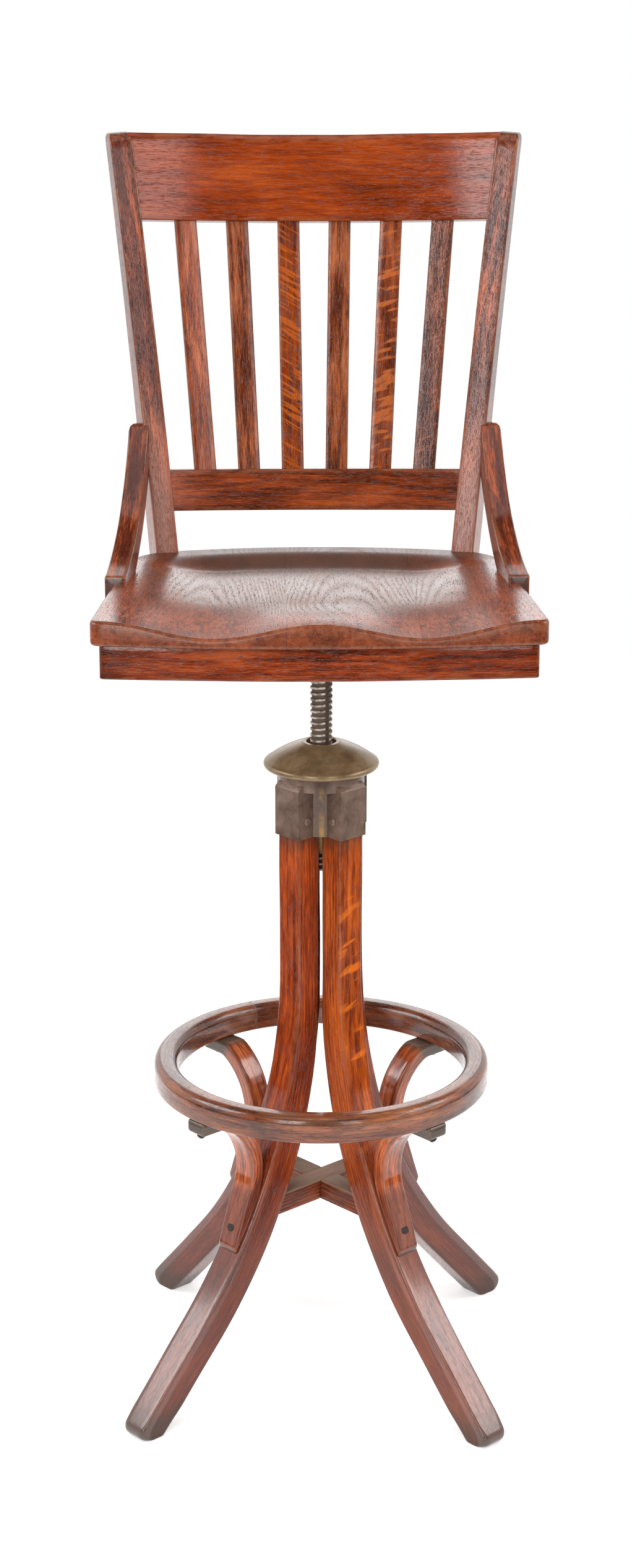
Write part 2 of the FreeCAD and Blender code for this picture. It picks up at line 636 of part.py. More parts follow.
def rail_placing(rail):
    """Placing of a rail's own frame: leaning back, with its middle at a given depth and height."""
    return FreeCAD.Placement(Vec(0, rail["y"], rail["z"]), FreeCAD.Rotation(ACROSS, -rail["lean"]))


def plain_rail(rail, thick, shoulder):
    """Curved rail, thinner and lower by its shoulders when it is drawn as a tenon."""
    inset = (RAIL_THICK - thick) / 2
    body = bowed_bar(RAIL_HALF, inset, -(RAIL_BEND_R + inset), thick, rail["height"] - 2 * shoulder)
    body.translate(Vec(0, 0, shoulder))
    return body.transformed(rail_placing(rail).toMatrix())


def rail_point(rail, x, depth, height):
    """Point of a rail at a distance across, behind its front face and above its lower edge."""
    radius = RAIL_BEND_R + depth
    angle = math.asin(x / radius)
    return rail_placing(rail).multVec(Vec(x, radius * math.cos(angle) - RAIL_BEND_R, height))


def slat(index):
    """Straight slat between the rails, fanned out towards the top and let into both."""
    place = index - (SLAT_COUNT - 1) / 2
    low = rail_point(LOWER_RAIL, place * SLAT_PITCH_LOW, SLAT_SET_LOW + SLAT_THICK / 2, LOWER_RAIL["height"])
    high = rail_point(CREST, place * SLAT_PITCH_TOP, SLAT_SET_TOP + SLAT_THICK / 2, 0)
    along = (high - low).normalize()
    lean = place * SLAT_PITCH_TOP / RAIL_BEND_R
    across = Vec(math.cos(lean), -math.sin(lean), 0)
    through = along.cross(across).normalize()
    across = through.cross(along)
    length = (high - low).Length + 2 * SLAT_MORTISE
    board = Part.makeBox(SLAT_WIDTH, SLAT_THICK, length, Vec(-SLAT_WIDTH / 2, -SLAT_THICK / 2, -SLAT_MORTISE))
    placing = FreeCAD.Placement(low, FreeCAD.Rotation(across, through, along, "ZXY"))
    return board.transformed(placing.toMatrix())


def rail_with_tenons(rail, posts):
    """Rail shouldered between the posts, with a tenon into each."""
    body = cut_all(plain_rail(rail, RAIL_THICK, 0.0), posts)
    body = innermost(body)
    tenon = plain_rail(rail, RAIL_TENON["thick"], RAIL_TENON["shoulder"])
    half = body.BoundBox.XLength / 2 + RAIL_TENON["length"] - 4
    window = Part.makeBox(2 * half, 4 * REACH, 4 * REACH, Vec(-half, -2 * REACH, -REACH))
    return body.fuse(tenon.common(window)).removeSplitter()


def crest_rail(posts):
    """Crest rail with its upper edges rounded between the posts."""
    body = rail_with_tenons(CREST, posts)
    back = rail_placing(CREST).inverse()
    top = CREST["height"]
    ridge = edges_at(body, lambda p: abs(back.multVec(p).z - top) < 0.01 and abs(p.x) < 1.0)
    return body.makeFillet(CREST["round"], ridge)


def brace_point(a, b):
    """Point on the right-hand brace's outer face, along the seat's side and up."""
    plan = math.radians(BRACE_PLAN)
    return Vec(BRACE_OUTER_X - a * math.sin(plan), a * math.cos(plan), BRACE_BASE_Z + b)


def brace_inward():
    """Direction from the right-hand brace's outer face to its inner face."""
    plan = math.radians(BRACE_PLAN)
    return Vec(-math.cos(plan), -math.sin(plan), 0)


def plain_brace():
    """Right-hand side brace: a concentric curved band with a rounded head."""
    start, end = (math.radians(s) for s in BRACE_SLOPES)
    centre_a = BRACE_FRONT_A - BRACE_BEND_R * math.sin(start)
    centre_b = BRACE_FRONT_B + BRACE_BEND_R * math.cos(start)

    def band(radius, slope):
        """Point of the band at a radius, where it slopes so much."""
        return brace_point(centre_a + radius * math.sin(slope), centre_b - radius * math.cos(slope))

    far = BRACE_BEND_R + BRACE_WIDTH
    foot_slope = math.asin((BRACE_FRONT_A - centre_a) / far)
    middle = (start + end) / 2
    upper = arc(band(BRACE_BEND_R, start), band(BRACE_BEND_R, middle), band(BRACE_BEND_R, end))
    lower = arc(band(far, foot_slope), band(far, middle), band(far, end))
    edges = [upper, lower, segment(band(BRACE_BEND_R, end), band(far, end))]
    edges.append(segment(band(BRACE_BEND_R, start), band(far, foot_slope)))
    body = slab(edges, brace_inward() * BRACE_THICK)
    tops = (band(BRACE_BEND_R, end), band(far, end))
    inner = brace_inward() * (BRACE_THICK / 2)
    head = edges_at(body, lambda p: min((p - top - inner).Length for top in tops) < 0.01)
    return body.makeFillet(BRACE_HEAD_ROUND, head)


def brace_screw(a, b):
    """Flat-head screw from the brace's outer face inwards."""
    inward = brace_inward()
    outside = brace_point(a, b) - BRACE_SCREW["proud"] * inward
    head = rod(BRACE_SCREW["head_r"], outside, outside + BRACE_SCREW["head"] * inward)
    shank = rod(BRACE_SCREW["shank_r"], outside, outside + BRACE_SCREW["depth"] * inward)
    return head.fuse(shank).removeSplitter()


# Fitting the pieces to each other


def build_base():
    """Every piece of the base, cut to fit its neighbours."""
    bare_leg, bare_bracket, rivet = plain_leg(), plain_bracket(), plain_rivet()
    tenon = stretcher_tenon(bare_leg)
    ring_pin, bracket_pin = ring_screw(bare_bracket), bracket_screw(bare_bracket)
    leg = cut_all(bare_leg, [tenon, bracket_pin, rivet])
    bracket = cut_all(bare_bracket, [ring_pin, bracket_pin])
    pieces = {}
    angles = {corner: leg_angle(corner) for corner in CORNERS}
    for corner, angle in angles.items():
        pieces["leg_" + corner] = turned(leg, angle)
        pieces["ring_bracket_" + corner] = turned(bracket, angle)
    everywhere = list(angles.values())
    bar = cut_all(plain_stretcher(), [bare_leg, turned(bare_leg, 180)])
    bar = innermost(bar).fuse([tenon, turned(tenon, 180)]).removeSplitter()
    half_height = STRETCHER_HEIGHT / 2
    lap = Part.makeBox(STRETCHER_WIDTH, STRETCHER_WIDTH, half_height)
    lap = moved(lap, Vec(-STRETCHER_WIDTH / 2, -STRETCHER_WIDTH / 2, STRETCHER_Z))
    upper_lap = moved(lap, Vec(0, 0, half_height))
    pieces["cross_stretcher_over"] = turned(bar.cut(lap), angles["front_left"])
    pieces["cross_stretcher_under"] = turned(bar.cut(upper_lap), angles["front_right"])
    ring_pins = [turned(ring_pin, angle) for angle in everywhere]
    rivets = [turned(rivet, angle) for angle in everywhere]
    pieces["foot_ring"] = cut_all(ring(), ring_pins)
    pieces["ring_screws"] = Part.makeCompound(ring_pins)
    pieces["bracket_screws"] = Part.makeCompound([turned(bracket_pin, angle) for angle in everywhere])
    body = collar([turned(bare_leg, angle) for angle in everywhere])
    pieces["leg_collar"] = cut_all(body, rivets)
    pieces["collar_rivets"] = Part.makeCompound(rivets)
    return pieces


def build_lift():
    """Hub nut, dome, key and screw."""
    block = key()
    return {"hub_nut": hub_nut(), "hub_dome": dome(block), "screw_key": block, "height_screw": height_screw()}


def build_seat():
    """Seat, seat frame, iron and back, cut to fit each other."""
    post = plain_post()
    posts = [post, mirrored(post)]
    bare_brace = plain_brace().cut(post)
    bare_brace = max(bare_brace.Solids, key=lambda solid: solid.Volume)
    braces = [bare_brace, mirrored(bare_brace)]
    aside = Vec(AXIS.x, 0, 0)
    screws = [moved(seat_placed(screw), aside) for screw in iron_screws()]
    brace_pins = [brace_screw(*place) for place in BRACE_SCREWS]
    brace_pins += [mirrored(pin) for pin in brace_pins]
    slats = [slat(index) for index in range(SLAT_COUNT)]
    pieces = {}
    taller = [post, moved(post, (POST_HEAD - POST_FOOT) * 0.1)]  # so that the crest is cut right through
    taller += [mirrored(body) for body in taller]
    crest = crest_rail(taller)
    lower = rail_with_tenons(LOWER_RAIL, posts)
    pieces["crest_rail"] = cut_all(crest, slats)
    pieces["lower_rail"] = cut_all(lower, slats)
    for index, board in enumerate(slats):
        pieces["slat_%d" % (index + 1)] = board
    for name, body in zip(("right", "left"), posts):
        pieces["back_post_" + name] = cut_all(body, [crest, lower] + brace_pins)
    for name, body in zip(("right", "left"), braces):
        pieces["side_brace_" + name] = cut_all(body, brace_pins)
    pieces["brace_screws"] = Part.makeCompound(brace_pins)
    pieces["seat"] = cut_all(seat_placed(plain_seat()), posts + braces + screws + brace_pins)
    for name, rail in plain_aprons().items():
        fitted = cut_all(seat_placed(rail), posts)
        pieces["apron_" + name] = max(fitted.Solids, key=lambda solid: solid.Volume)
    pieces["seat_iron"] = cut_all(moved(seat_iron(), aside), screws)
    pieces["seat_iron_screws"] = Part.makeCompound(screws)
    return pieces


def main():
    """Builds every piece and writes one file for each."""
    os.makedirs("parts", exist_ok=True)
    pieces = {name: moved(shape, AXIS) for name, shape in {**build_base(), **build_lift()}.items()}
    pieces.update({name: moved(shape, Vec(0, AXIS.y, AXIS.z)) for name, shape in build_seat().items()})
    for name, shape in pieces.items():
        shape.exportStep("parts/" + name + ".step")
        print("%-28s solids %d, valid %s" % (name, len(shape.Solids), shape.isValid()))


main()
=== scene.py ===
"""Draughtsman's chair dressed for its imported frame: shaped oak, iron and steel in a plain white studio.

Sizes are millimetres about the lifting screw's axis, +Z up, the front of the chair towards -Y. Meshes
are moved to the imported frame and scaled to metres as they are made.
"""

import json
import logging
from dataclasses import dataclass, field
from enum import Enum
from typing import Any

import bmesh
import bpy
import numpy as np
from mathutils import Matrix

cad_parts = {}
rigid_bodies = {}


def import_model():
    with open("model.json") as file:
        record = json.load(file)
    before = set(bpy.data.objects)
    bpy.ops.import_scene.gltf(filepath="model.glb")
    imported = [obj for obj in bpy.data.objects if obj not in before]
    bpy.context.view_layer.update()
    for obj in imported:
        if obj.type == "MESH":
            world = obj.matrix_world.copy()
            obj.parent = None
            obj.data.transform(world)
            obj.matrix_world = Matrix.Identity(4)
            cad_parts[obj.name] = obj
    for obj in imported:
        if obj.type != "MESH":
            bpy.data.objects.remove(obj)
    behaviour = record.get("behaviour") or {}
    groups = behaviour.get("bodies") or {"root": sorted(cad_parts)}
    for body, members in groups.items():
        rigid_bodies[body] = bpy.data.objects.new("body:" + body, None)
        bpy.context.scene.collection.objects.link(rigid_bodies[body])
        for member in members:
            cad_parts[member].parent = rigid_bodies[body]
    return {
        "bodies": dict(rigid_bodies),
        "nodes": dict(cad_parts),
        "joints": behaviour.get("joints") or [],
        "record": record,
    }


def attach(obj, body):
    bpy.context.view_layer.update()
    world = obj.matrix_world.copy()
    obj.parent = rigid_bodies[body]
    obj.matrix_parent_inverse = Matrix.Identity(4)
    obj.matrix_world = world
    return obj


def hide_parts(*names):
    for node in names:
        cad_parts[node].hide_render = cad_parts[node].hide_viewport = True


LOG = logging.getLogger("chair")
MM = 0.001
UP = np.array([0.0, 0.0, 1.0])
FULL_TURN = 2 * np.pi
QUARTER_TURN = np.pi / 2

Point = tuple[float, float]
Triple = tuple[float, float, float]
Colour = tuple[float, float, float, float]
Mesh = bpy.types.Mesh
Piece = bpy.types.Object
Material = bpy.types.Material


class Corner(Enum):
    """The four legs, by their direction from the screw in degrees."""

    FRONT_LEFT = 225.0
    FRONT_RIGHT = 315.0
    BACK_RIGHT = 45.0
    BACK_LEFT = 135.0


class Hand(Enum):
    """The two sides of the chair, as seen from in front, by the sign of X."""

    RIGHT = 1.0
    LEFT = -1.0

    def of(self, right: np.ndarray) -> np.ndarray:
        """Points or a direction of the right-hand side, as they are on this side."""
        return right * [self.value, 1, 1]


class Stuff(Enum):
    """What a new piece is made of, as its name ends."""

    OAK = "oak"
    IRON = "iron"
    STEEL = "steel"


class Frame:
    """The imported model, and where each node of it belongs."""

    def __init__(self, packed: dict[str, Any]) -> None:
        """Finds each node's body and slot, the screw's axis, the seat's middle and the turn of the base.
        """
        record = packed["record"]
        behaviour = record["behaviour"]
        self.nodes = packed["nodes"]
        self.body_of = {node: body for body, names in behaviour["bodies"].items() for node in names}
        self.slot_of = {part["node"]: part["material_slot"] for part in record["subparts"]}
        self.axis = np.array(behaviour["joints"][0]["pos_m"]) / MM
        self.seat_at = self.axis * [0, 1, 1]
        foot = next(mount for mount in record["mounts"] if mount["name"] == "foot_front_right")
        reach = np.array(foot["pos_m"]) / MM - self.axis
        self.base_turn = np.degrees(np.arctan2(reach[1], reach[0])) + 360.0 - Corner.FRONT_RIGHT.value

    def stand_in(self, piece: Piece, *nodes: str) -> None:
        """Puts a piece in the place of CAD nodes: their body, and shown instead of them.

        Args:
            piece: the finished piece.
            nodes: the nodes that it stands for.
        """
        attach(piece, self.body_of[nodes[0]])
        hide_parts(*nodes)
        LOG.info("%s stands for %s: %d faces", piece.name, ", ".join(nodes), len(piece.data.polygons))


# Surfaces

SHARP_EDGE = np.radians(42)
CORNER_STEPS = 5
END_STEPS = 5
FINE_STEP = 1.6
TOE_LEAD = 1.0  # a toe's arrises start to get rounder this far before it
SUPPORT = 4.0  # faces get a line of points this far from an arris, so that wear stays near it
SUPPORT_SHARE = 0.4  # the most of a flat that this distance may take
ARRIS_SHARE = 0.9  # the most of half a section that an arris may take
SWELLS = ((0.22, 41.0, 1.0), (0.13, 17.0, 2.3))  # share of an arris, length of the wave and its phase
END_DRAW = 0.02  # sections drawn in by more than this are part of an end's rounding
SEED_STEP = np.array([311.0, 0.0, 917.0])  # how far apart in the timber two bars are cut
MERGE_M = 1e-6
FLAT_ANGLE = np.radians(0.5)
EASE_ANGLE = np.radians(25)
EASE_SEGMENTS = 3


@dataclass
class Surface:
    """A closed mesh as whole arrays.

    Attributes:
        points: places in millimetres about the screw's axis.
        quads: corners of the four-sided faces.
        tris: corners of the three-sided faces.
        grain: distances across, through and along the grain at each point.
        trim: shares of arris, end grain and length at each point.
    """

    points: np.ndarray
    quads: np.ndarray
    tris: np.ndarray
    grain: np.ndarray
    trim: np.ndarray

    def volume(self) -> float:
        """Signed volume: the sum of the tetrahedra from the origin to each triangle.

        Returns:
            The volume, below 0 where the faces point inwards.
        """
        halves = (self.quads[:, [0, 1, 2]], self.quads[:, [0, 2, 3]], self.tris)
        a, b, c = np.moveaxis(self.points[np.concatenate(halves)], 1, 0)
        return float(np.einsum("ij,ij->i", a, np.cross(b, c)).sum() / 6)

    def made(self, name: str, origin: np.ndarray, material: Material) -> Piece:
        """Makes the mesh object, faces outwards, with its grain and trim as point attributes.

        Args:
            name: the piece's name.
            origin: where the sizes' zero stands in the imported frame.
            material: the piece's finish.

        Returns:
            The linked object.
        """
        flip = -1 if self.volume() < 0 else 1
        faces = self.quads[:, ::flip].tolist() + self.tris[:, ::flip].tolist()
        mesh = bpy.data.meshes.new(name)
        mesh.from_pydata(((self.points + origin) * MM).tolist(), [], faces)
        set_values(mesh, "grain", self.grain)
        set_values(mesh, "trim", self.trim)
        mesh.shade_smooth()
        mesh.set_sharp_from_angle(angle=SHARP_EDGE)
        mesh.materials.append(material)
        return linked(name, mesh)


def linked(name: str, data: Any) -> Piece:
    """Puts data in the scene as an object.

    Args:
        name: the object's name.
        data: its mesh, lamp or camera.

    Returns:
        The object.
    """
    piece = bpy.data.objects.new(name, data)
    bpy.context.scene.collection.objects.link(piece)
    return piece


def set_values(mesh: Mesh, name: str, values: np.ndarray) -> None:
    """Writes three numbers per point as a vector attribute."""
    layer = mesh.attributes.new(name, "FLOAT_VECTOR", "POINT")
    layer.data.foreach_set("vector", np.ascontiguousarray(values, dtype=np.float32).ravel())


def grid_quads(rows: int, columns: int, closed_rows: bool = False) -> np.ndarray:
    """Faces of a grid of points numbered row by row, whose columns always close on themselves.

    Args:
        rows: number of rows.
        columns: number of points in a row.
        closed_rows: whether the last row joins the first.

    Returns:
        Four corners for each face.
    """
    row = np.arange(rows if closed_rows else rows - 1)[:, None]
    column = np.arange(columns)[None, :]
    here, there = row * columns, (row + 1) % rows * columns
    after = (column + 1) % columns
    return np.stack([here + column, here + after, there + after, there + column], -1).reshape(-1, 4)


def fan(ring: np.ndarray, centre: int) -> np.ndarray:
    """Triangles from a ring of points to one centre."""
    return np.stack([ring, np.roll(ring, -1), np.full_like(ring, centre)], -1)


def capped(rings: np.ndarray, poles: np.ndarray, grain: np.ndarray, trim: np.ndarray) -> Surface:
    """Stack of rings closed by a fan over its first ring and one over its last.

    Args:
        rings: the points, ring by ring.
        poles: the fans' two middles.
        grain: one row for each point, the poles last.
        trim: one row for each point, the poles last.

    Returns:
        The closed surface.
    """
    rows, columns = rings.shape[:2]
    ring, first = np.arange(columns), rows * columns
    tris = np.concatenate([fan(ring[::-1], first), fan(ring + first - columns, first + 1)])
    points = np.concatenate([rings.reshape(-1, 3), poles])
    return Surface(points, grid_quads(rows, columns), tris, grain, trim)


def lengths(path: np.ndarray) -> np.ndarray:
    """Length along a path at each of its points."""
    steps = np.linalg.norm(np.diff(path, axis=0), axis=1)
    return np.concatenate([[0.0], np.cumsum(steps)])


def at_lengths(path: np.ndarray, run: np.ndarray, wanted: np.ndarray) -> np.ndarray:
    """Points of a path at wanted lengths: linear between its own points, which lie at run."""
    return np.stack([np.interp(wanted, run, axis) for axis in path.T], -1)


def resampled(path: np.ndarray, count: int) -> np.ndarray:
    """Path with a count of evenly spaced points, by length."""
    run = lengths(path)
    return at_lengths(path, run, np.linspace(0, run[-1], count))


def smooth(low: float, high: float, value: np.ndarray) -> np.ndarray:
    """Eased step from 0 at low to 1 at high: 3t squared less 2t cubed."""
    share = np.clip((value - low) / (high - low), 0, 1)
    return share * share * (3 - 2 * share)


def arc(centre: Point, radius: float, start: float, end: float, count: int) -> np.ndarray:
    """Points of a circle in a plane, from one angle to another in degrees."""
    angle = np.radians(np.linspace(start, end, count))
    return np.stack([centre[0] + radius * np.cos(angle), centre[1] + radius * np.sin(angle)], -1)


@dataclass(frozen=True)
class End:
    """Rounding of a bar's end: its radius, and the share taken off its faces and off its sides."""

    radius: float = 1.0
    faces: float = 1.0
    sides: float = 1.0


@dataclass(frozen=True)
class Toe:
    """Worn last stretch of a bar: its length, and how many times rounder its arrises get."""

    length: float = 0.0
    rounder: float = 0.0


def rounded_section() -> tuple[np.ndarray, np.ndarray, np.ndarray, np.ndarray]:
    """Weights of a rounded rectangle's points, going once round.

    A point is its corner's signs times half the thickness and half the width, moved in by weights times
    the corner's radius and by weights times the support distance. One corner's weights, with those of the
    face's middle before it, are turned by each quarter.

    Returns:
        Weights (x, y) of the corner, the radius and the support, and 1 for each point on an arris.
    """
    turn = np.linspace(0, QUARTER_TURN, CORNER_STEPS)
    none, one = np.zeros(CORNER_STEPS), np.ones(CORNER_STEPS)
    quarter = np.arange(4)[:, None] * QUARTER_TURN
    c, s = np.cos(quarter).round(), np.sin(quarter).round()
    weights = []
    for x, y in (
            ([1, 1, *one, 1], [0, 1, *one, 1]),
            ([0, 0, *np.cos(turn) - 1, -1], [0, -1, *np.sin(turn) - 1, 0]),
            ([0, 0, *none, -1], [0, -1, *none, 0])):
        x, y = np.array(x), np.array(y)
        weights.append(np.stack([(c * x - s * y).ravel(), (s * x + c * y).ravel()]))
    return (*weights, np.tile([0, 0, *one, 0], 4))


def bar(face: np.ndarray, back: np.ndarray, side: np.ndarray, width: float, ease: Point,
        start: End = End(), end: End = End(), step: float = 7.0, seed: float = 0.0,
        toe: Toe = Toe()) -> Surface:
    """Shaped bar: a rounded rectangle carried along the middle of two lines.

    At a length s the section's centre is halfway between the two lines, its thickness is the gap between
    them and its width lies along the side direction. Near an end, after an angle a, the section is at
    r(1 - cos a) from the end and drawn in by r(1 - sin a). The arrises' radius swells and shrinks along
    the length by two sines, as on a hand-finished bar.

    Args:
        face: points along the bar's face.
        back: points along its back, one for each point of the face.
        side: unit direction of its width.
        width: its width.
        ease: radius of the arrises on the side's near edge and far edge.
        start: rounding of the first end.
        end: rounding of the last end.
        step: distance between sections.
        seed: where in the timber it is cut, so that no two bars have the same figure.
        toe: the worn stretch before the last end, which is drawn finely.

    Returns:
        The bar's surface.
    """
    run = lengths((face + back) / 2)
    turn = np.linspace(0, QUARTER_TURN, END_STEPS)
    rise, draw = 1 - np.cos(turn), 1 - np.sin(turn)
    close = run[-1] - end.radius - toe.length
    inner = np.unique(np.concatenate([
        np.linspace(start.radius, close, max(int(run[-1] / step), 3)),
        close + np.linspace(0, toe.length, int(toe.length / FINE_STEP) + 2)]))[1:-1]
    s = np.concatenate([start.radius * rise, inner, run[-1] - end.radius * rise[::-1]])
    none = np.zeros(len(inner))
    off_faces, off_sides = (
        np.concatenate([start.radius * first * draw, none, end.radius * last * draw[::-1]])[:, None]
        for first, last in ((start.faces, end.faces), (start.sides, end.sides)))
    near, far = (at_lengths(line, run, s) for line in (face, back))
    through = near - far
    thick = np.linalg.norm(through, axis=1, keepdims=True)
    through = through / thick
    half_x, half_y = thick / 2 - off_faces, width / 2 - off_sides
    corner, rounding, support, arris = rounded_section()
    swell = 1 + sum(share * np.sin(s / length + phase * seed) for share, length, phase in SWELLS)
    swell = swell * (1 + toe.rounder * smooth(close - TOE_LEAD, run[-1], s))
    radius = np.where(corner[1] < 0, *ease)[None, :] * swell[:, None]
    radius = np.minimum(radius, ARRIS_SHARE * np.minimum(half_x, half_y))
    x, y = (
        corner[axis] * half + rounding[axis] * radius
        + support[axis] * np.minimum(SUPPORT, SUPPORT_SHARE * (half - radius))
        for axis, half in enumerate((half_x, half_y)))
    rings = ((near + far) / 2)[:, None] + x[..., None] * through[:, None] + y[..., None] * side
    along = np.broadcast_to(s[:, None], x.shape)
    grain = np.stack([y, x, along], -1).reshape(-1, 3)
    cut = np.zeros((len(s), 1))
    cut[[0, -1]] = 1
    arris = np.maximum(arris, off_faces + off_sides > END_DRAW)
    trim = np.stack(np.broadcast_arrays(arris, cut, along / run[-1]), -1).reshape(-1, 3)
    return capped(
        rings, rings[[0, -1]].mean(axis=1),
        np.concatenate([grain, [[0, 0, 0], [0, 0, run[-1]]]]) + seed * SEED_STEP,
        np.concatenate([trim, [[0, 1, 0], [0, 1, 1]]]))


def revolved(profile: np.ndarray, count: int, turn: float = 0.0) -> Surface:
    """Closed outline of (radius, height) points carried once round the screw's axis.

    A point is (radius cos a, radius sin a, height). The grain runs round the turn, at the outer radius.

    Args:
        profile: the outline's points, in order.
        count: number of sections.
        turn: angle of the first section, degrees.

    Returns:
        The ring's surface.
    """
    angle = np.radians(turn) + np.linspace(0, FULL_TURN, count, endpoint=False)[:, None]
    radius, height = profile[:, 0][None, :], profile[:, 1][None, :]
    points = np.stack(np.broadcast_arrays(radius * np.cos(angle), radius * np.sin(angle), height), -1)
    length = (angle - angle[0]) * profile[:, 0].max()
    grain = np.stack(np.broadcast_arrays(height, radius, length), -1).reshape(-1, 3)
    quads = grid_quads(count, len(profile), closed_rows=True)
    return Surface(points.reshape(-1, 3), quads, np.zeros((0, 3), int), grain, np.zeros_like(grain))


# Shader maths


class Wire:
    """One output socket, with arithmetic that adds Math nodes."""

    def __init__(self, graph: "Graph", socket: bpy.types.NodeSocket) -> None:
        """Wraps a socket of a graph."""
        self.graph, self.socket = graph, socket

    def __add__(self, other: "Wire | float") -> "Wire":
        """Sum."""
        return self.graph.math("ADD", self, other)

    __radd__ = __add__

    def __sub__(self, other: "Wire | float") -> "Wire":
        """Difference."""
        return self.graph.math("SUBTRACT", self, other)

    def __rsub__(self, other: "Wire | float") -> "Wire":
        """Difference from a number."""
        return self.graph.math("SUBTRACT", other, self)

    def __mul__(self, other: "Wire | float") -> "Wire":
        """Product."""
        return self.graph.math("MULTIPLY", self, other)

    __rmul__ = __mul__

    def __truediv__(self, other: "Wire | float") -> "Wire":
        """Quotient."""
        return self.graph.math("DIVIDE", self, other)

    def __gt__(self, other: "Wire | float") -> "Wire":
        """1 where this is greater, else 0."""
        return self.graph.math("GREATER_THAN", self, other)


@dataclass(frozen=True)
class Noise:
    """One layer of smooth noise.

    Attributes:
        size_mm: size of its features along each axis.
        detail: number of finer layers.
        rough: strength of the finer layers.
        distortion: how far the place is stirred.
    """

    size_mm: Triple
    detail: float = 2.0
    rough: float = 0.5
    distortion: float = 0.0


class Graph:
    """Nodes of one material or world, added by expressions."""

    def __init__(self, tree: bpy.types.NodeTree) -> None:
        """Starts an empty graph in a node tree."""
        tree.nodes.clear()
        self.tree = tree

    def node(self, kind: str, settings: dict[str, Any] | None = None,
             sockets: dict[Any, Any] | None = None, out: int | str = 0) -> Wire:
        """Adds a node.

        Args:
            kind: the node's type.
            settings: its own settings, set first; "stops" are a ramp's (place, colour) pairs.
            sockets: values or wires for its inputs, by name or number.
            out: the output to hand on.

        Returns:
            That output.
        """
        node = self.tree.nodes.new(kind)
        for key, value in (settings or {}).items():
            if key == "stops":
                self._set_stops(node.color_ramp, value)
            else:
                setattr(node, key, value)
        for key, value in (sockets or {}).items():
            if isinstance(value, Wire):
                self.tree.links.new(value.socket, node.inputs[key])
            else:
                node.inputs[key].default_value = value
        return Wire(self, node.outputs[out] if len(node.outputs) else None)

    @staticmethod
    def _set_stops(ramp: bpy.types.ColorRamp, stops: list[tuple[float, Colour]]) -> None:
        """Gives a ramp its stops.

        Args:
            ramp: the new ramp.
            stops: places and colours, in rising order.
        """
        while len(ramp.elements) < len(stops):
            ramp.elements.new(1.0)
        for element, (place, colour) in zip(ramp.elements, stops):
            element.position = place
            element.color = colour

    def math(self, operation: str, a: Wire | float, b: Wire | float = 0.0) -> Wire:
        """Math node on two values."""
        return self.node("ShaderNodeMath", {"operation": operation}, {0: a, 1: b})

    def step(self, low: float, high: float, value: Wire) -> Wire:
        """Eased step of a value, 0 at low and 1 at high."""
        sockets = {"Value": value, "From Min": low, "From Max": high}
        return self.node("ShaderNodeMapRange", {"interpolation_type": "SMOOTHSTEP"}, sockets)

    def mix(self, factor: Wire | float, a: Wire | Colour, b: Wire | Colour) -> Wire:
        """Mix node on two colours."""
        return self.node("ShaderNodeMix", {"data_type": "RGBA"}, {0: factor, 6: a, 7: b}, 2)

    def ramp(self, value: Wire, places: Triple, colours: tuple[Colour, ...]) -> Wire:
        """Colours at rising places of a value."""
        return self.node("ShaderNodeValToRGB", {"stops": list(zip(places, colours))}, {0: value})

    def vector(self, operation: str, a: Wire, b: Wire | Triple) -> Wire:
        """Vector Math node on two vectors."""
        return self.node("ShaderNodeVectorMath", {"operation": operation}, {0: a, 1: b})

    def parts(self, vector: Wire) -> tuple[Wire, Wire, Wire]:
        """The three numbers of a vector."""
        first = self.node("ShaderNodeSeparateXYZ", sockets={0: vector})
        return tuple(Wire(self, socket) for socket in first.socket.node.outputs)

    def joined(self, x: Wire | float, y: Wire | float, z: Wire | float) -> Wire:
        """Vector of three numbers."""
        return self.node("ShaderNodeCombineXYZ", sockets={0: x, 1: y, 2: z})

    def noise(self, place: Wire, layer: Noise) -> Wire:
        """Smooth noise at a place in millimetres, 0 to 1 about a half.

        Args:
            place: the place.
            layer: size and kind of the noise.

        Returns:
            The noise.
        """
        scaled = self.vector("MULTIPLY", place, tuple(1 / size for size in layer.size_mm))
        sockets = {
            "Vector": scaled, "Scale": 1.0, "Detail": layer.detail, "Roughness": layer.rough,
            "Distortion": layer.distortion}
        return self.node("ShaderNodeTexNoise", None, sockets, "Fac")

    def attribute(self, name: str) -> Wire:
        """Vector attribute of the piece."""
        return self.node("ShaderNodeAttribute", {"attribute_name": name}, out="Vector")

    def place_mm(self) -> Wire:
        """Object coordinates, in millimetres."""
        place = self.node("ShaderNodeTexCoord", out="Object")
        return self.vector("MULTIPLY", place, (1 / MM, 1 / MM, 1 / MM))

    def bump(self, height: Wire, strength: float, distance_mm: float) -> Wire:
        """Normal tilted by a height."""
        sockets = {"Height": height, "Strength": strength, "Distance": distance_mm * MM}
        return self.node("ShaderNodeBump", None, sockets, "Normal")


def tint(red: int, green: int, blue: int) -> Colour:
    """Linear colour from screen values of 0 to 255, by the screens' standard curve."""
    share = np.array([red, green, blue]) / 255
    return (*np.where(share <= 0.04045, share / 12.92, ((share + 0.055) / 1.055) ** 2.4).tolist(), 1.0)


def new_material(name: str) -> tuple[Material, Graph]:
    """Makes an empty material.

    Args:
        name: the material's name.

    Returns:
        The material and its graph.
    """
    material = bpy.data.materials.new(name)
    material.use_nodes = True
    return material, Graph(material.node_tree)


def shaded(graph: Graph, sockets: dict[str, Any]) -> None:
    """Ends a material's graph in one glossy surface with the given inputs."""
    surface = graph.node("ShaderNodeBsdfPrincipled", None, sockets)
    graph.node("ShaderNodeOutputMaterial", None, {"Surface": surface})


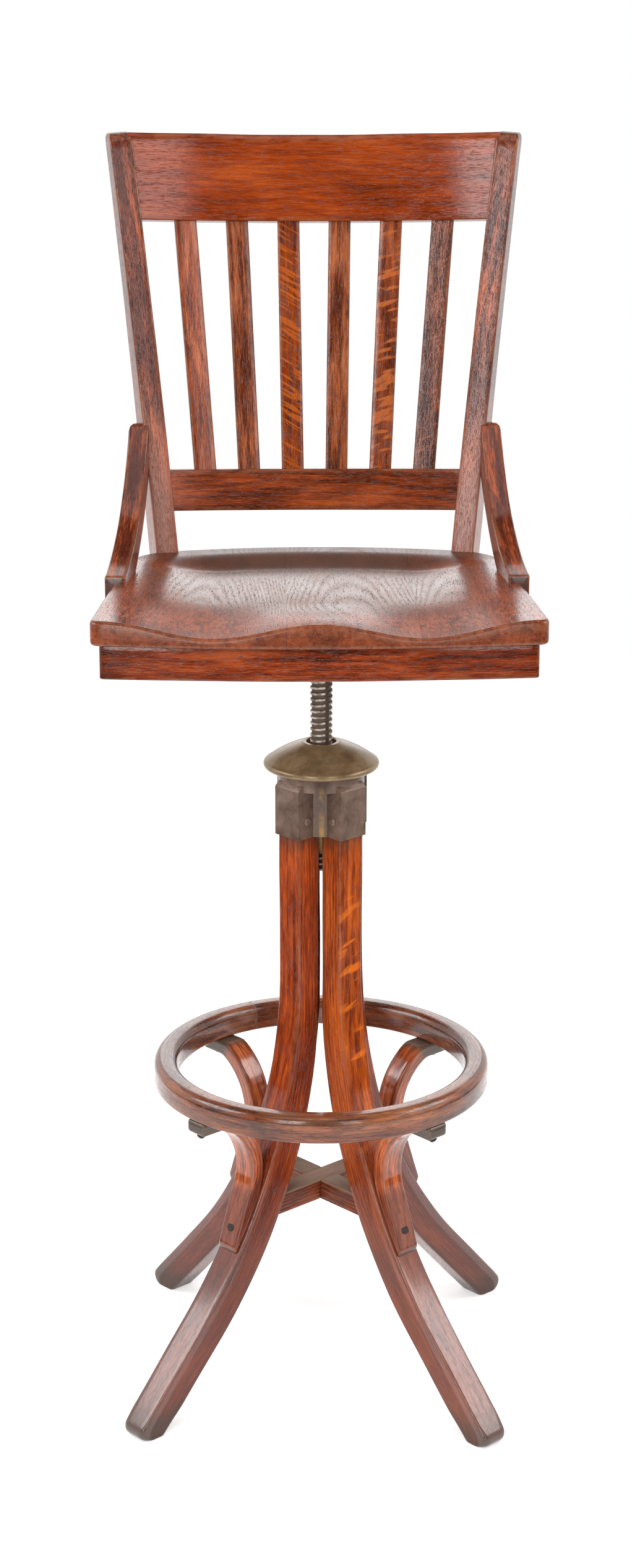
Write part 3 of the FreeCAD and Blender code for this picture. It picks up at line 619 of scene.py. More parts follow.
@dataclass
class Look:
    """Inputs of a surface while its finish is built up.

    Attributes:
        graph: the material's nodes.
        colour: its colour.
        rough: its roughness.
        height: height of its fine relief.
        coat: share of clear varnish over it.
    """

    graph: Graph
    colour: Wire
    rough: Wire
    height: Wire
    coat: Wire | float = 0.0

    def cover(self, share: Wire, tone: Wire | Colour, dull: float = 0.0) -> None:
        """Lays a tone over the colour by a share of it, and makes the surface rougher there."""
        self.colour = self.graph.mix(share, self.colour, tone)
        self.rough = self.rough + share * dull if dull else self.rough


class Cut(Enum):
    """How a board was sawn, by its share of shining ray flecks."""

    FLAT = 0.0
    MIXED = 0.35
    QUARTERED = 0.85


@dataclass(frozen=True)
class Board:
    """One board of a glued-up piece: the joint on its left, and how far its figure is moved across."""

    joint: float
    shift: float


@dataclass(frozen=True)
class Zone:
    """Stretch of a piece's length that is dirty or worn, or that carries painted shade or painted sheen.

    Attributes:
        start: where it starts, as a share of the length.
        full: where it is full.
        strength: how far its tone covers the wood.
        tone: its colour.
        dull: how much rougher it is.
        coat: share of clear varnish on the piece's outer face there.
    """

    start: float
    full: float
    strength: float
    tone: Colour = tint(62, 48, 36)
    dull: float = 0.25
    coat: float = 0.0


OVAL_FADE = (1.15, 0.7)
OVAL_RAGGED = 0.5


@dataclass(frozen=True)
class Oval:
    """Worn patch on a board, whose grey tone is partly painted sheen.

    Attributes:
        middle: its middle, across and along the grain.
        half: its half sizes across and along.
        strength: how far it covers the stain.
        tone: colour of the worn wood, greyed as painted sheen.
        line: colour of its growth bands, paler as painted sheen.
    """

    middle: Point
    half: Point
    strength: float
    tone: Colour = tint(104, 76, 62)
    line: Colour = tint(140, 108, 90)

    def share(self, graph: Graph, ragged: Wire) -> Wire:
        """Cover of the patch, 0 to 1: full inside the oval and fading out ragged.

        Args:
            graph: the material's nodes.
            ragged: noise for its edge.

        Returns:
            The cover.
        """
        across, _, along = graph.parts(graph.attribute("grain"))
        x = (across - self.middle[0]) / self.half[0]
        y = (along - self.middle[1]) / self.half[1]
        away = graph.math("SQRT", x * x + y * y) + (ragged - 0.5) * OVAL_RAGGED
        return graph.step(*OVAL_FADE, away) * self.strength


# Oak: layers of noise across, through and along the grain
STREAK = Noise((3.2, 3.2, 64.0), 4.0, 0.65)
FIBRE = Noise((1.1, 1.1, 15.0), 3.0, 0.6)
TONE = Noise((26.0, 26.0, 90.0), 3.0, 0.55)
RUB = Noise((7.0, 7.0, 22.0), 4.0, 0.6)
PORE = Noise((0.7, 0.7, 8.0))
OLD_STAIN = Noise((15.0, 15.0, 90.0), 4.0, 0.6)
SWAY = Noise((30.0, 30.0, 120.0))
FLECK_PATCH = Noise((26.0, 26.0, 70.0))

# Oak: eased steps that turn noise and distances into marks
PORE_STEP = (0.585, 0.66)
STAIN_STEP = (0.50, 0.70)
PATCH_STEP = (0.42, 0.58)
BARE_STEP = (0.48, 0.66)
DUST_STEP = (0.42, 0.60)
GLUE_STEP = (0.5, 0.1)
OFF_END_STEP = (0.1, 0.0)
OUTER_FACE_STEP = (8.0, 12.0)
FLECK_SOFT = 0.10
FLECK_EDGE = 2.0
DUST_EDGE = 1.5

# Oak: depth of the stain, whose noise has this mean, and its place on the ramp of three tones
FINE_SHARE = 0.8
DEPTH_MEAN = 1.24
DEPTH_MIDDLE = 0.48
DEPTH_STOPS = (0.27, 0.50, 0.75)

# Oak: strength of each mark in the colour, the roughness and the relief
OVAL_LINES = 0.6
BARE_ARRIS = 0.1
DUST_RAGGED = 0.6
ZONE_RAGGED = 0.06
END_COVER = 0.75
GLUE_COVER = 0.55
DULL_TONE = 0.15
DULL_PORE = 0.15
DULL_END = 0.25
DULL_OVAL = 0.08
DULL_BARE = 0.2
DULL_DUST = 0.25
HIGH_RIPPLE = 0.55
HIGH_FIBRE = 0.3
HIGH_FLECK = 0.25
DEEP_PORE = 0.8
RELIEF_MM = 0.4
COAT_ROUGH = 0.12
BOARD_STEP = (433.0, 97.0)  # how far along the timber the boards of a glued-up piece are cut


@dataclass(frozen=True)
class OakFinish:
    """Stained, varnished and worn oak.

    The figure is laid out on the piece's own grain attribute: growth bands through it, streaks and open
    pores along it, and ray flecks in patches. The trim attribute says where arrises and end grain are,
    and how far along the piece a point lies.

    Attributes:
        name: the material's name.
        dark: darkest stain, also in old stains and along arrises, where it is partly dirt and partly
            painted shade.
        middle: commonest stain.
        light: lightest stain.
        ray: colour of the ray flecks.
        pore: colour of the open pores and glue lines.
        worn: colour of bare wood on the arrises.
        end_tone: colour of end grain.
        contrast: spread of the stain about its middle.
        edge: darkness along the arrises, partly dirt and partly painted shade.
        wear: bareness of the arrises.
        cut: how the board was sawn.
        fleck_mm: length and height of the flecks.
        fleck_slant: how far they slant.
        fleck_at: level of noise at which they start: fewer when higher.
        fleck_zone: middle and half length of the only stretch that has them, as shares.
        fleck_face: distance through the piece beyond which they show.
        ring_mm: thickness of a growth band.
        ring_share: darkness of the bands.
        lean: slope of the bands across the piece.
        crown: curve of the bands across the piece.
        tilt: slope of the bands along the piece.
        sway: wandering of the bands, millimetres.
        stain: strength of old stains.
        pores: darkness of the pores.
        pore_bands: how far the pores keep to the bands.
        dust: strength of the dust.
        dust_tone: colour of the dust.
        dust_above: height through the piece above which it lies, where it lies only there.
        grime_shade_and_sheen: dirty and worn stretches, and stretches of painted shade and painted sheen.
        wear_and_sheen_oval: worn patch, greyed partly as painted sheen.
        gloss: roughness of the varnish.
        coat: share of clear varnish all over.
        relief: strength of the fine relief.
        ripple_mm: width and length of its ripples.
        boards: boards of a glued-up piece.
    """

    name: str
    dark: Colour = tint(74, 24, 9)
    middle: Colour = tint(136, 52, 20)
    light: Colour = tint(180, 82, 34)
    ray: Colour = tint(214, 112, 36)
    pore: Colour = tint(46, 15, 8)
    worn: Colour = tint(186, 116, 72)
    end_tone: Colour = tint(64, 44, 32)
    contrast: float = 1.0
    edge: float = 0.4
    wear: float = 0.2
    cut: Cut = Cut.FLAT
    fleck_mm: Point = (24.0, 4.0)
    fleck_slant: float = 0.45
    fleck_at: float = 0.50
    fleck_zone: Point | None = None
    fleck_face: float | None = None
    ring_mm: float = 4.2
    ring_share: float = 0.15
    lean: float = 0.35
    crown: float = 0.0
    tilt: float = 0.004
    sway: float = 12.0
    stain: float = 0.35
    pores: float = 0.5
    pore_bands: float = 0.05
    dust: float = 0.0
    dust_tone: Colour = tint(140, 104, 80)
    dust_above: float | None = None
    grime_shade_and_sheen: tuple[Zone, ...] = ()
    wear_and_sheen_oval: Oval | None = None
    gloss: float = 0.10
    coat: float = 0.0
    relief: float = 0.30
    ripple_mm: Point = (1.8, 6.0)
    boards: tuple[Board, ...] = ()

    def figure(self, graph: Graph) -> Wire:
        """Place in the timber: the grain attribute, moved on at each glue joint.

        Args:
            graph: the material's nodes.

        Returns:
            Distances across, through and along.
        """
        grain = graph.attribute("grain")
        across = graph.parts(grain)[0]
        first, more = BOARD_STEP
        for number, board in enumerate(self.boards):
            past = across > board.joint
            offset = graph.joined(past * board.shift, 0.0, past * (first + more * number))
            grain = graph.vector("ADD", grain, offset)
        return grain

    def bands(self, graph: Graph, grain: Wire) -> Wire:
        """Growth bands, 0 to 1: layers through the board, arched across it and dipping along it.

        Args:
            graph: the material's nodes.
            grain: place in the timber.

        Returns:
            The square of a sine of the layer.
        """
        across, through, along = graph.parts(grain)
        layer = through + across * self.lean + across * across * self.crown + along * self.tilt
        layer = layer + graph.noise(grain, SWAY) * self.sway
        wave = graph.math("SINE", layer * (FULL_TURN / self.ring_mm)) * 0.5 + 0.5
        return wave * wave

    def flecks(self, graph: Graph, grain: Wire, cut_end: Wire, share: Wire) -> Wire:
        """Ray flecks, 0 to 1: bars slanting across the grain, in patches or in one stretch of the length.

        Args:
            graph: the material's nodes.
            grain: place in the timber.
            cut_end: how far a point is on end grain, which has no flecks.
            share: how far along the piece a point lies.

        Returns:
            The flecks.
        """
        across, through, along = graph.parts(grain)
        wide, tall = self.fleck_mm
        slanted = graph.joined(across, through, along + across * self.fleck_slant)
        figure = graph.noise(slanted, Noise((wide, wide, tall), rough=0.4, distortion=0.3))
        bars = graph.step(self.fleck_at, self.fleck_at + FLECK_SOFT, figure)
        if self.fleck_zone:
            middle, half = self.fleck_zone
            patch = graph.step(half, half / 2, graph.math("ABSOLUTE", share - middle))
        else:
            patch = graph.step(*PATCH_STEP, graph.noise(grain, FLECK_PATCH))
        if self.fleck_face:
            patch = patch * graph.step(self.fleck_face, self.fleck_face + FLECK_EDGE, through)
        return bars * patch * graph.step(*OFF_END_STEP, cut_end) * self.cut.value

    def dusted(self, graph: Graph, tone: Wire, rub: Wire, through: Wire) -> Wire:
        """Dust, 0 to 1: in clouds, or over all that lies above a height.

        Args:
            graph: the material's nodes.
            tone: wide noise.
            rub: fine noise.
            through: distance through the piece.

        Returns:
            The dust.
        """
        if self.dust_above is None:
            return graph.step(*DUST_STEP, tone * 0.5 + rub * 0.5) * self.dust
        above = graph.step(self.dust_above - DUST_EDGE, self.dust_above, through)
        return above * (self.dust + (rub - 0.5) * DUST_RAGGED)

    def material(self) -> Material:
        """Builds the finish, one mark over another.

        Returns:
            The material.
        """
        material, g = new_material(self.name)
        grain = self.figure(g)
        through = g.parts(grain)[1]
        arris, cut_end, share = g.parts(g.attribute("trim"))
        bands = self.bands(g, grain)
        streak, fibre, tone, rub = (g.noise(grain, layer) for layer in (STREAK, FIBRE, TONE, RUB))
        narrow, long = self.ripple_mm
        ripple = g.noise(grain, Noise((narrow, narrow, long), 3.0, 0.6))
        pore = g.step(*PORE_STEP, g.noise(grain, PORE) + bands * self.pore_bands)
        depth = streak * FINE_SHARE + tone + fibre * FINE_SHARE - bands * self.ring_share
        depth = (depth - DEPTH_MEAN) * self.contrast + DEPTH_MIDDLE
        look = Look(
            g, g.ramp(depth, DEPTH_STOPS, (self.dark, self.middle, self.light)),
            self.gloss + (tone - 0.5) * DULL_TONE + pore * DULL_PORE + cut_end * DULL_END,
            ripple * HIGH_RIPPLE + fibre * HIGH_FIBRE - pore * DEEP_PORE, self.coat)
        look.cover(g.step(*STAIN_STEP, g.noise(grain, OLD_STAIN)) * self.stain, self.dark)
        if self.cut.value:
            fleck = self.flecks(g, grain, cut_end, share)
            look.cover(fleck, self.ray)
            look.height = look.height + fleck * HIGH_FLECK
        # worn patch: partly wear, partly painted sheen in its grey tone and paler bands
        if self.wear_and_sheen_oval:
            bald_and_sheen = self.wear_and_sheen_oval.share(g, rub)
            lines = g.mix(bands * bands * OVAL_LINES, self.wear_and_sheen_oval.tone, self.wear_and_sheen_oval.line)
            look.cover(bald_and_sheen, lines)
            look.rough = look.rough + bald_and_sheen * bands * DULL_OVAL
        look.cover(pore * self.pores, self.pore)
        # dark line along every arris: partly dirt, partly painted shade
        look.cover(arris * self.edge, self.dark)
        bare = g.step(*BARE_STEP, rub + arris * BARE_ARRIS) * arris * self.wear
        look.cover(bare, self.worn, DULL_BARE)
        if self.dust:
            look.cover(self.dusted(g, tone, rub, through), self.dust_tone, DULL_DUST)
        for zone in self.grime_shade_and_sheen:
            # each stretch lays dirt or wear, and on the seat and the posts painted shade or painted sheen
            dirt_shade_and_sheen = g.step(zone.start, zone.full, share + (rub - 0.5) * ZONE_RAGGED)
            look.cover(dirt_shade_and_sheen * zone.strength, zone.tone, zone.dull)
            if zone.coat:
                look.coat = look.coat + dirt_shade_and_sheen * zone.coat * g.step(*OUTER_FACE_STEP, through)
        look.cover(cut_end * END_COVER, self.end_tone)
        for board in self.boards:
            away = g.math("ABSOLUTE", g.parts(g.attribute("grain"))[0] - board.joint)
            look.cover(g.step(*GLUE_STEP, away) * GLUE_COVER, self.pore)
        shaded(g, {
            "Base Color": look.colour, "Roughness": look.rough,
            "Coat Weight": look.coat, "Coat Roughness": COAT_ROUGH,
            "Normal": g.bump(look.height, self.relief, RELIEF_MM)})
        return material


# Iron: layers of noise, the steps that turn them into marks, and the strength of each
PATINA = Noise((22.0, 22.0, 22.0), 5.0, 0.6, 0.4)
GRIT = Noise((1.1, 1.1, 1.1), 4.0, 0.6)
LUMP = Noise((5.0, 5.0, 5.0), 4.0, 0.6)
PIT = Noise((2.4, 2.4, 2.4), 3.0, 0.6)
PATINA_STOPS = (0.30, 0.50, 0.72)
PATINA_MIX = (0.7, 0.2, 0.1)
SPOT_STEP = (0.62, 0.70)
PIT_STEP = (0.60, 0.68)
GILT_STEP = (0.42, 0.60)
SEAM_SHADE = (4.0, 0.6)
SEAM_GILT = (0.4, 0.8)
IRON_DULL = (0.4, 0.2, 0.15)
IRON_HIGH = (0.35, 0.5, 0.6)
MARK_METAL = 0.3
IRON_RELIEF = (0.35, 0.5)


@dataclass(frozen=True)
class Seam:
    """Gilt line down a valley, with painted shade beside it: the middle and half its width across, and
    its foot's height and fade.
    """

    middle: float
    half: float
    foot: float
    fade: float = 14.0


@dataclass(frozen=True)
class IronFinish:
    """Aged cast iron: patina in clouds, fine casting grain, pits and rubbed high spots.

    Attributes:
        name: the material's name.
        dark: darkest patina, also in the pits.
        middle: commonest patina.
        light: lightest patina.
        residue: colour of the spots and of the seam.
        seam: gilt line with painted shade in its valley, where it has one.
        pits: strength of the pits.
        gloss: roughness.
        metal: share of bare metal.
        residue_share: strength of the spots.
    """

    name: str
    dark: Colour
    middle: Colour
    light: Colour
    residue: Colour
    seam: Seam | None = None
    pits: float = 0.5
    gloss: float = 0.40
    metal: float = 0.25
    residue_share: float = 0.2

    def shade_and_gild(self, look: Look, place: Wire, cloud: Wire, lump: Wire) -> None:
        """Paints shade into the seam's valley and lays its gilt line, which is fullest at the foot.

        Args:
            look: the surface so far.
            place: the place, millimetres.
            cloud: wide noise.
            lump: noise for its edges.
        """
        g, seam = look.graph, self.seam
        x, _, z = g.parts(place)
        away = g.math("ABSOLUTE", x - seam.middle) + (lump - 0.5) * seam.half
        reach, shade = SEAM_SHADE
        # painted shade: darkest down the valley's middle, fading out to four half widths
        look.cover(g.step(seam.half * reach, seam.half, away) * shade, self.dark)
        core, gilt = SEAM_GILT
        full = g.step(*GILT_STEP, cloud) * 0.5 + g.step(seam.foot + seam.fade, seam.foot, z) * 0.5
        look.cover(g.step(seam.half, seam.half * core, away) * full * gilt, self.residue)

    def material(self) -> Material:
        """Builds the finish.

        Returns:
            The material.
        """
        material, g = new_material(self.name)
        place = g.place_mm()
        cloud, grit, lump = (g.noise(place, layer) for layer in (PATINA, GRIT, LUMP))
        wide, middling, fine = PATINA_MIX
        pit = g.step(*PIT_STEP, g.noise(place, PIT)) * self.pits
        spots = g.step(*SPOT_STEP, lump) * self.residue_share
        dull_cloud, dull_pit, dull_grit = IRON_DULL
        high_grit, high_lump, deep_pit = IRON_HIGH
        look = Look(
            g, g.ramp(cloud * wide + lump * middling + grit * fine, PATINA_STOPS,
                      (self.dark, self.middle, self.light)),
            self.gloss + (cloud - 0.5) * dull_cloud + pit * dull_pit + (grit - 0.5) * dull_grit,
            grit * high_grit + lump * high_lump - pit * deep_pit)
        look.cover(spots, self.residue)
        if self.seam:
            self.shade_and_gild(look, place, cloud, lump)
        look.cover(pit, self.dark)
        shaded(g, {
            "Base Color": look.colour, "Roughness": look.rough,
            "Metallic": self.metal - pit * MARK_METAL - spots * MARK_METAL,
            "Normal": g.bump(look.height, *IRON_RELIEF)})
        return material


# Steel: layers of noise, the steps that turn them into marks, and the strength of each
SMEAR = Noise((9.0, 9.0, 16.0), 4.0, 0.6)
SCRATCH = Noise((0.9, 0.9, 0.9), 3.0, 0.6)
RUST_STEP = (0.40, 0.66)
CREST_FROM = 0.75  # share of the thread's depth below the crest where the steel starts to be bright
CREST_FULL = 0.15
CREST_RAGGED = 0.5
GREASE_ROUGH = 0.62
CREST_SHINE = 0.28
SMEAR_DULL = 0.2
STEEL_METAL = (0.05, 0.3)
STEEL_RELIEF = (0.2, 0.3)


@dataclass(frozen=True)
class ScrewFinish:
    """Worn steel thread: bright crests, and old grease darkening the grooves and the keyway.

    Attributes:
        name: the material's name.
        crest_r: radius of the crests.
        depth: depth of the grooves.
        axis: where the screw stands, in plan.
        bright: colour of the crests.
        grease: colour of the grooves.
        rust: colour of rusty crests.
    """

    name: str
    crest_r: float
    depth: float
    axis: Point
    bright: Colour = tint(228, 216, 200)
    grease: Colour = tint(92, 80, 67)
    rust: Colour = tint(140, 118, 98)

    def material(self) -> Material:
        """Builds the finish.

        Returns:
            The material.
        """
        material, g = new_material(self.name)
        place = g.place_mm()
        x, y, _ = g.parts(place)
        off_x, off_y = x - self.axis[0], y - self.axis[1]
        radius = g.math("SQRT", off_x * off_x + off_y * off_y)
        cloud, grit = g.noise(place, SMEAR), g.noise(place, SCRATCH)
        low, high = self.crest_r - self.depth * CREST_FROM, self.crest_r - CREST_FULL
        crest = g.step(low, high, radius + (grit - 0.5) * CREST_RAGGED)
        steel = g.mix(g.step(*RUST_STEP, cloud), self.bright, self.rust)
        grease_metal, crest_metal = STEEL_METAL
        shaded(g, {
            "Base Color": g.mix(crest, self.grease, steel),
            "Metallic": crest * crest_metal + grease_metal,
            "Roughness": GREASE_ROUGH - crest * CREST_SHINE + (cloud - 0.5) * SMEAR_DULL,
            "Normal": g.bump(grit, *STEEL_RELIEF)})
        return material


# The chair


@dataclass
class Assembly:
    """A sub-assembly of the chair.

    Attributes:
        frame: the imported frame.
        finishes: its materials, by name.
    """

    frame: Frame
    finishes: dict[str, Material] = field(default_factory=dict)

    def origin(self) -> np.ndarray:
        """Where the sizes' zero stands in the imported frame: on the screw's axis."""
        return self.frame.axis

    def take(self, finishes: dict[str, OakFinish | IronFinish | ScrewFinish]) -> None:
        """Makes the materials of finishes, by the same names."""
        self.finishes.update({name: finish.material() for name, finish in finishes.items()})

    def put(self, node: str, surface: Surface, finish: str, stuff: Stuff = Stuff.OAK) -> None:
        """Makes a piece, named for its node and its stuff, and puts it in the node's place.

        Args:
            node: the node that it stands for.
            surface: its shape.
            finish: name of its finish.
            stuff: what it is made of.
        """
        name = "%s_%s" % (node, stuff.value)
        self.frame.stand_in(surface.made(name, self.origin(), self.finishes[finish]), node)

    def ease(self, node: str, width: float, finish: str) -> Piece:
        """Puts a merged copy of a CAD node, with its edges eased, in the node's place.

        Args:
            node: the node to copy.
            width: width of the eased edges.
            finish: name of the copy's finish.

        Returns:
            The piece.
        """
        shape = bmesh.new()
        shape.from_mesh(self.frame.nodes[node].data)
        bmesh.ops.remove_doubles(shape, verts=shape.verts, dist=MERGE_M)
        bmesh.ops.dissolve_limit(shape, angle_limit=FLAT_ANGLE, verts=shape.verts, edges=shape.edges)
        mesh = bpy.data.meshes.new(node + "_eased")
        shape.to_mesh(mesh)
        shape.free()
        mesh.materials.clear()
        mesh.materials.append(self.finishes[finish])
        piece = linked(node + "_eased", mesh)
        bevel = piece.modifiers.new("ease", "BEVEL")
        bevel.width = width * MM
        bevel.segments = EASE_SEGMENTS
        bevel.limit_method = "ANGLE"
        bevel.angle_limit = EASE_ANGLE
        mesh.shade_smooth()
        mesh.set_sharp_from_angle(angle=SHARP_EDGE)
        self.frame.stand_in(piece, node)
        return piece

    def paint(self, finish: str, *nodes: str) -> None:
        """Gives CAD nodes that stay as they are a finish.

        Args:
            finish: the finish's name.
            nodes: the nodes' names.
        """
        material = self.finishes[finish]
        for node in nodes:
            for slot in self.frame.nodes[node].material_slots:
                slot.material = material
            LOG.info("%s keeps its CAD shape, in %s", node, material.name)


@dataclass(frozen=True)
class LegLine:
    """One face of a leg in its radial plane: an upright line, then a bend of some degrees."""

    shank_r: float
    bend_z: float
    bend_r: float
    slope: float


@dataclass
class Base(Assembly):
    """Legs, stretchers, foot ring and brackets.

    Attributes:
        bracket_tip: height of the bracket's foot, and its thickness there.
        seeds: where in the timber the legs, the brackets and the two stretchers are cut.
    """

    leg_width: float = 32.0
    leg_top: float = 648.0
    leg_outer: LegLine = LegLine(46.0, 465.0, 550.0, 42.5)
    leg_inner: LegLine = LegLine(17.6, 430.0, 510.0, 43.0)
    leg_ease: Point = (2.4, 2.4)
    leg_flaked: Corner = Corner.FRONT_RIGHT
    toe_radius: float = 9.6
    toe: Toe = Toe(34.0, 1.6)
    ring_outer: float = 178.8
    ring_width: float = 24.7
    ring_low: float = 328.0
    ring_high: float = 356.2
    ring_top_round: float = 9.0
    ring_foot_round: float = 2.5
    ring_scarf: float = 118.0
    bracket_width: float = 26.0
    bracket_thick: float = 17.0
    bracket_bend: float = 80.0
    bracket_low: float = 166.0
    bracket_leaves: float = 221.0
    bracket_tip: Point = (170.0, 6.5)
    bracket_end: float = 178.5
    bracket_seat: float = 313.5
    bracket_ease: Point = (2.2, 2.2)
    stretcher_ease: float = 1.6
    seeds: tuple[float, float, float, float] = (3.0, 9.0, 15.0, 17.0)

    def dress(self) -> None:
        """Makes the finishes: flamed legs with dirty feet, a worn ring and dusty stretchers."""
        feet = (
            Zone(0.085, 0.055, 0.55),
            Zone(0.46, 0.74, 0.62, tint(80, 42, 32), 0.0, 0.8),
            Zone(0.93, 0.985, 0.75))
        polished = (Zone(0.38, 0.28, 0.7, tint(88, 32, 17), 0.0), Zone(0.77, 0.85, 0.9, tint(72, 66, 52)))
        self.take({
            "leg": OakFinish(
                "leg_oak", dark=tint(84, 27, 9), middle=tint(148, 56, 19), light=tint(204, 92, 34),
                contrast=0.75, pores=0.35, relief=0.5, grime_shade_and_sheen=feet),
            "leg_flaked": OakFinish(
                "leg_oak_flaked", dark=tint(110, 40, 12), middle=tint(176, 76, 24),
                light=tint(220, 108, 40), ray=tint(238, 118, 26), contrast=0.8, cut=Cut.QUARTERED,
                fleck_mm=(46.0, 12.0), fleck_slant=0.3, fleck_at=0.57, fleck_zone=(0.33, 0.24),
                fleck_face=11.0, stain=0.2, pores=0.35, relief=0.5, grime_shade_and_sheen=feet),
            "bracket": OakFinish(
                "bracket_oak", dark=tint(104, 40, 18), middle=tint(184, 88, 44),
                light=tint(228, 130, 78), coat=0.6, grime_shade_and_sheen=polished),
            "ring": OakFinish(
                "ring_oak_worn", dark=tint(44, 20, 11), middle=tint(128, 63, 32),
                light=tint(190, 112, 66), contrast=0.6, pores=0.7, stain=0.55, dust=0.2, gloss=0.11,
                coat=0.5, relief=0.6),
            "stretcher": OakFinish(
                "stretcher_oak", middle=tint(124, 58, 28), light=tint(164, 84, 46), dust=0.75,
                dust_above=215.0, dust_tone=tint(158, 134, 112), gloss=0.45)})

    def leg_line(self, line: LegLine, toe: float) -> np.ndarray:
        """One face of a leg in its radial plane.

        An upright line, an arc, a straight line to the floor and, on the outer face, the toe's round.

        Args:
            line: the face's sizes.
            toe: radius of the toe, or 0 for a face that ends in a corner.

        Returns:
            Evenly spaced points, (radius, height).
        """
        floor = -self.frame.axis[2]
        centre = (line.shank_r + line.bend_r, line.bend_z)
        curve = arc(centre, line.bend_r, 180.0, 180.0 + line.slope, count=40)
        foot_r = curve[-1, 0] + (curve[-1, 1] - floor) * np.tan(np.radians(line.slope))
        back_off = toe / np.tan(np.radians(90 - line.slope) / 2)
        nose = arc((foot_r - back_off, floor + toe), toe, line.slope, -90, count=16)
        return resampled(np.concatenate([[[line.shank_r, self.leg_top]], curve, nose]), count=600)

    def outward(self, corner: Corner) -> np.ndarray:
        """Unit directions of a leg: away from the screw, and along its width."""
        c, s = (turn(np.radians(corner.value + self.frame.base_turn)) for turn in (np.cos, np.sin))
        return np.array([[c, s, 0.0], [-s, c, 0.0]])

    def upright(self, line: np.ndarray, corner: Corner) -> np.ndarray:
        """Points of a leg's radial plane, (radius, height), in the chair's frame."""
        return line[:, :1] * self.outward(corner)[0] + line[:, 1:] * UP

    def leg(self, corner: Corner, seed: float) -> Surface:
        """One bent leg: a bar between its outer and its inner line.

        Args:
            corner: where it stands.
            seed: where in the timber it is cut.

        Returns:
            The leg's surface.
        """
        face = self.upright(self.leg_line(self.leg_outer, self.toe_radius), corner)
        back = self.upright(self.leg_line(self.leg_inner, 0.0), corner)
        return bar(
            face, back, self.outward(corner)[1], self.leg_width, self.leg_ease, end=End(0.6), step=8.0,
            seed=seed, toe=self.toe)

    def leg_outside(self, height: np.ndarray | float) -> tuple[np.ndarray, np.ndarray]:
        """The leg's outer arc, in its radial plane.

        Args:
            height: heights on it.

        Returns:
            Its points at those heights, and its outward normals there.
        """
        line = self.leg_outer
        sine = (line.bend_z - height) / line.bend_r
        cosine = np.sqrt(1 - sine**2)
        points = np.stack([line.shank_r + line.bend_r * (1 - cosine), height], -1)
        return points, np.stack([cosine, sine], -1)

    def bracket(self, corner: Corner, seed: float) -> Surface:
        """One ring bracket: it lies along the leg, follows a circle and is planed flat under the ring.

        Args:
            corner: the leg that carries it.
            seed: where in the timber it is cut.

        Returns:
            The bracket's surface.
        """
        on_leg, _ = self.leg_outside(np.linspace(self.bracket_low, self.bracket_leaves, 12))
        point, normal = self.leg_outside(self.bracket_leaves)
        centre = point + self.bracket_bend * normal
        start = 180.0 + np.degrees(np.arctan2(normal[1], normal[0]))
        under_r = self.bracket_bend - self.bracket_thick
        finish = np.degrees(np.arccos((self.bracket_end - centre[0]) / under_r))
        bend, under = (
            np.minimum(arc(centre, radius, start, finish, count=40), [self.bracket_end, top])
            for radius, top in ((self.bracket_bend, self.ring_low), (under_r, self.bracket_seat)))
        tip_z, tip_thick = self.bracket_tip
        tip, tip_normal = self.leg_outside(tip_z)
        tip = tip + tip_thick * tip_normal
        slope = tip + np.linspace(0, 1, 12)[:, None] * (under[0] - tip)
        face = self.upright(np.concatenate([on_leg, bend[1:]]), corner)
        back = self.upright(np.concatenate([slope, under[1:]]), corner)
        return bar(
            face, back, self.outward(corner)[1], self.bracket_width, self.bracket_ease, start=End(2.5),
            end=End(3.5), step=4.0, seed=seed)

    def ring(self) -> Surface:
        """Foot ring: its rounded section carried round the screw, with the scarf joint behind.

        Returns:
            The ring's surface.
        """
        outer, inner = self.ring_outer, self.ring_outer - self.ring_width
        top, foot = self.ring_top_round, self.ring_foot_round
        section = np.concatenate([
            arc((outer - foot, self.ring_low + foot), foot, -90, 0, count=5),
            arc((outer - top, self.ring_high - top), top, 0, 90, count=10),
            arc((inner + top, self.ring_high - top), top, 90, 180, count=10),
            arc((inner + foot, self.ring_low + foot), foot, 180, 270, count=5)])
        return revolved(section, count=240, turn=self.ring_scarf)

    def stretcher(self, node: str, corner: Corner, seed: float) -> None:
        """A cross stretcher, half lapped as in the frame, with its grain along its length.

        Args:
            node: the node that it stands for.
            corner: the leg that it points to.
            seed: where in the timber it is cut.
        """
        mesh = self.ease(node, self.stretcher_ease, "stretcher").data
        place = np.empty(len(mesh.vertices) * 3)
        mesh.vertices.foreach_get("co", place)
        place = place.reshape(-1, 3) / MM - self.frame.axis
        out, side = self.outward(corner)
        grain = np.stack([place @ side, place @ UP, place @ out], -1)
        set_values(mesh, "grain", grain + seed * SEED_STEP)
        set_values(mesh, "trim", np.zeros_like(grain))

    def build(self) -> None:
        """Makes every piece of the base."""
        leg_seed, bracket_seed, over_seed, under_seed = self.seeds
        for number, corner in enumerate(Corner):
            name = corner.name.lower()
            finish = "leg_flaked" if corner is self.leg_flaked else "leg"
            self.put("leg_" + name, self.leg(corner, leg_seed + number), finish)
            self.put("ring_bracket_" + name, self.bracket(corner, bracket_seed + number), "bracket")
        self.put("foot_ring", self.ring(), "ring")
        self.stretcher("cross_stretcher_over", Corner.FRONT_LEFT, over_seed)
        self.stretcher("cross_stretcher_under", Corner.FRONT_RIGHT, under_seed)
        self.paint("fixing", "ring_screws", "bracket_screws")


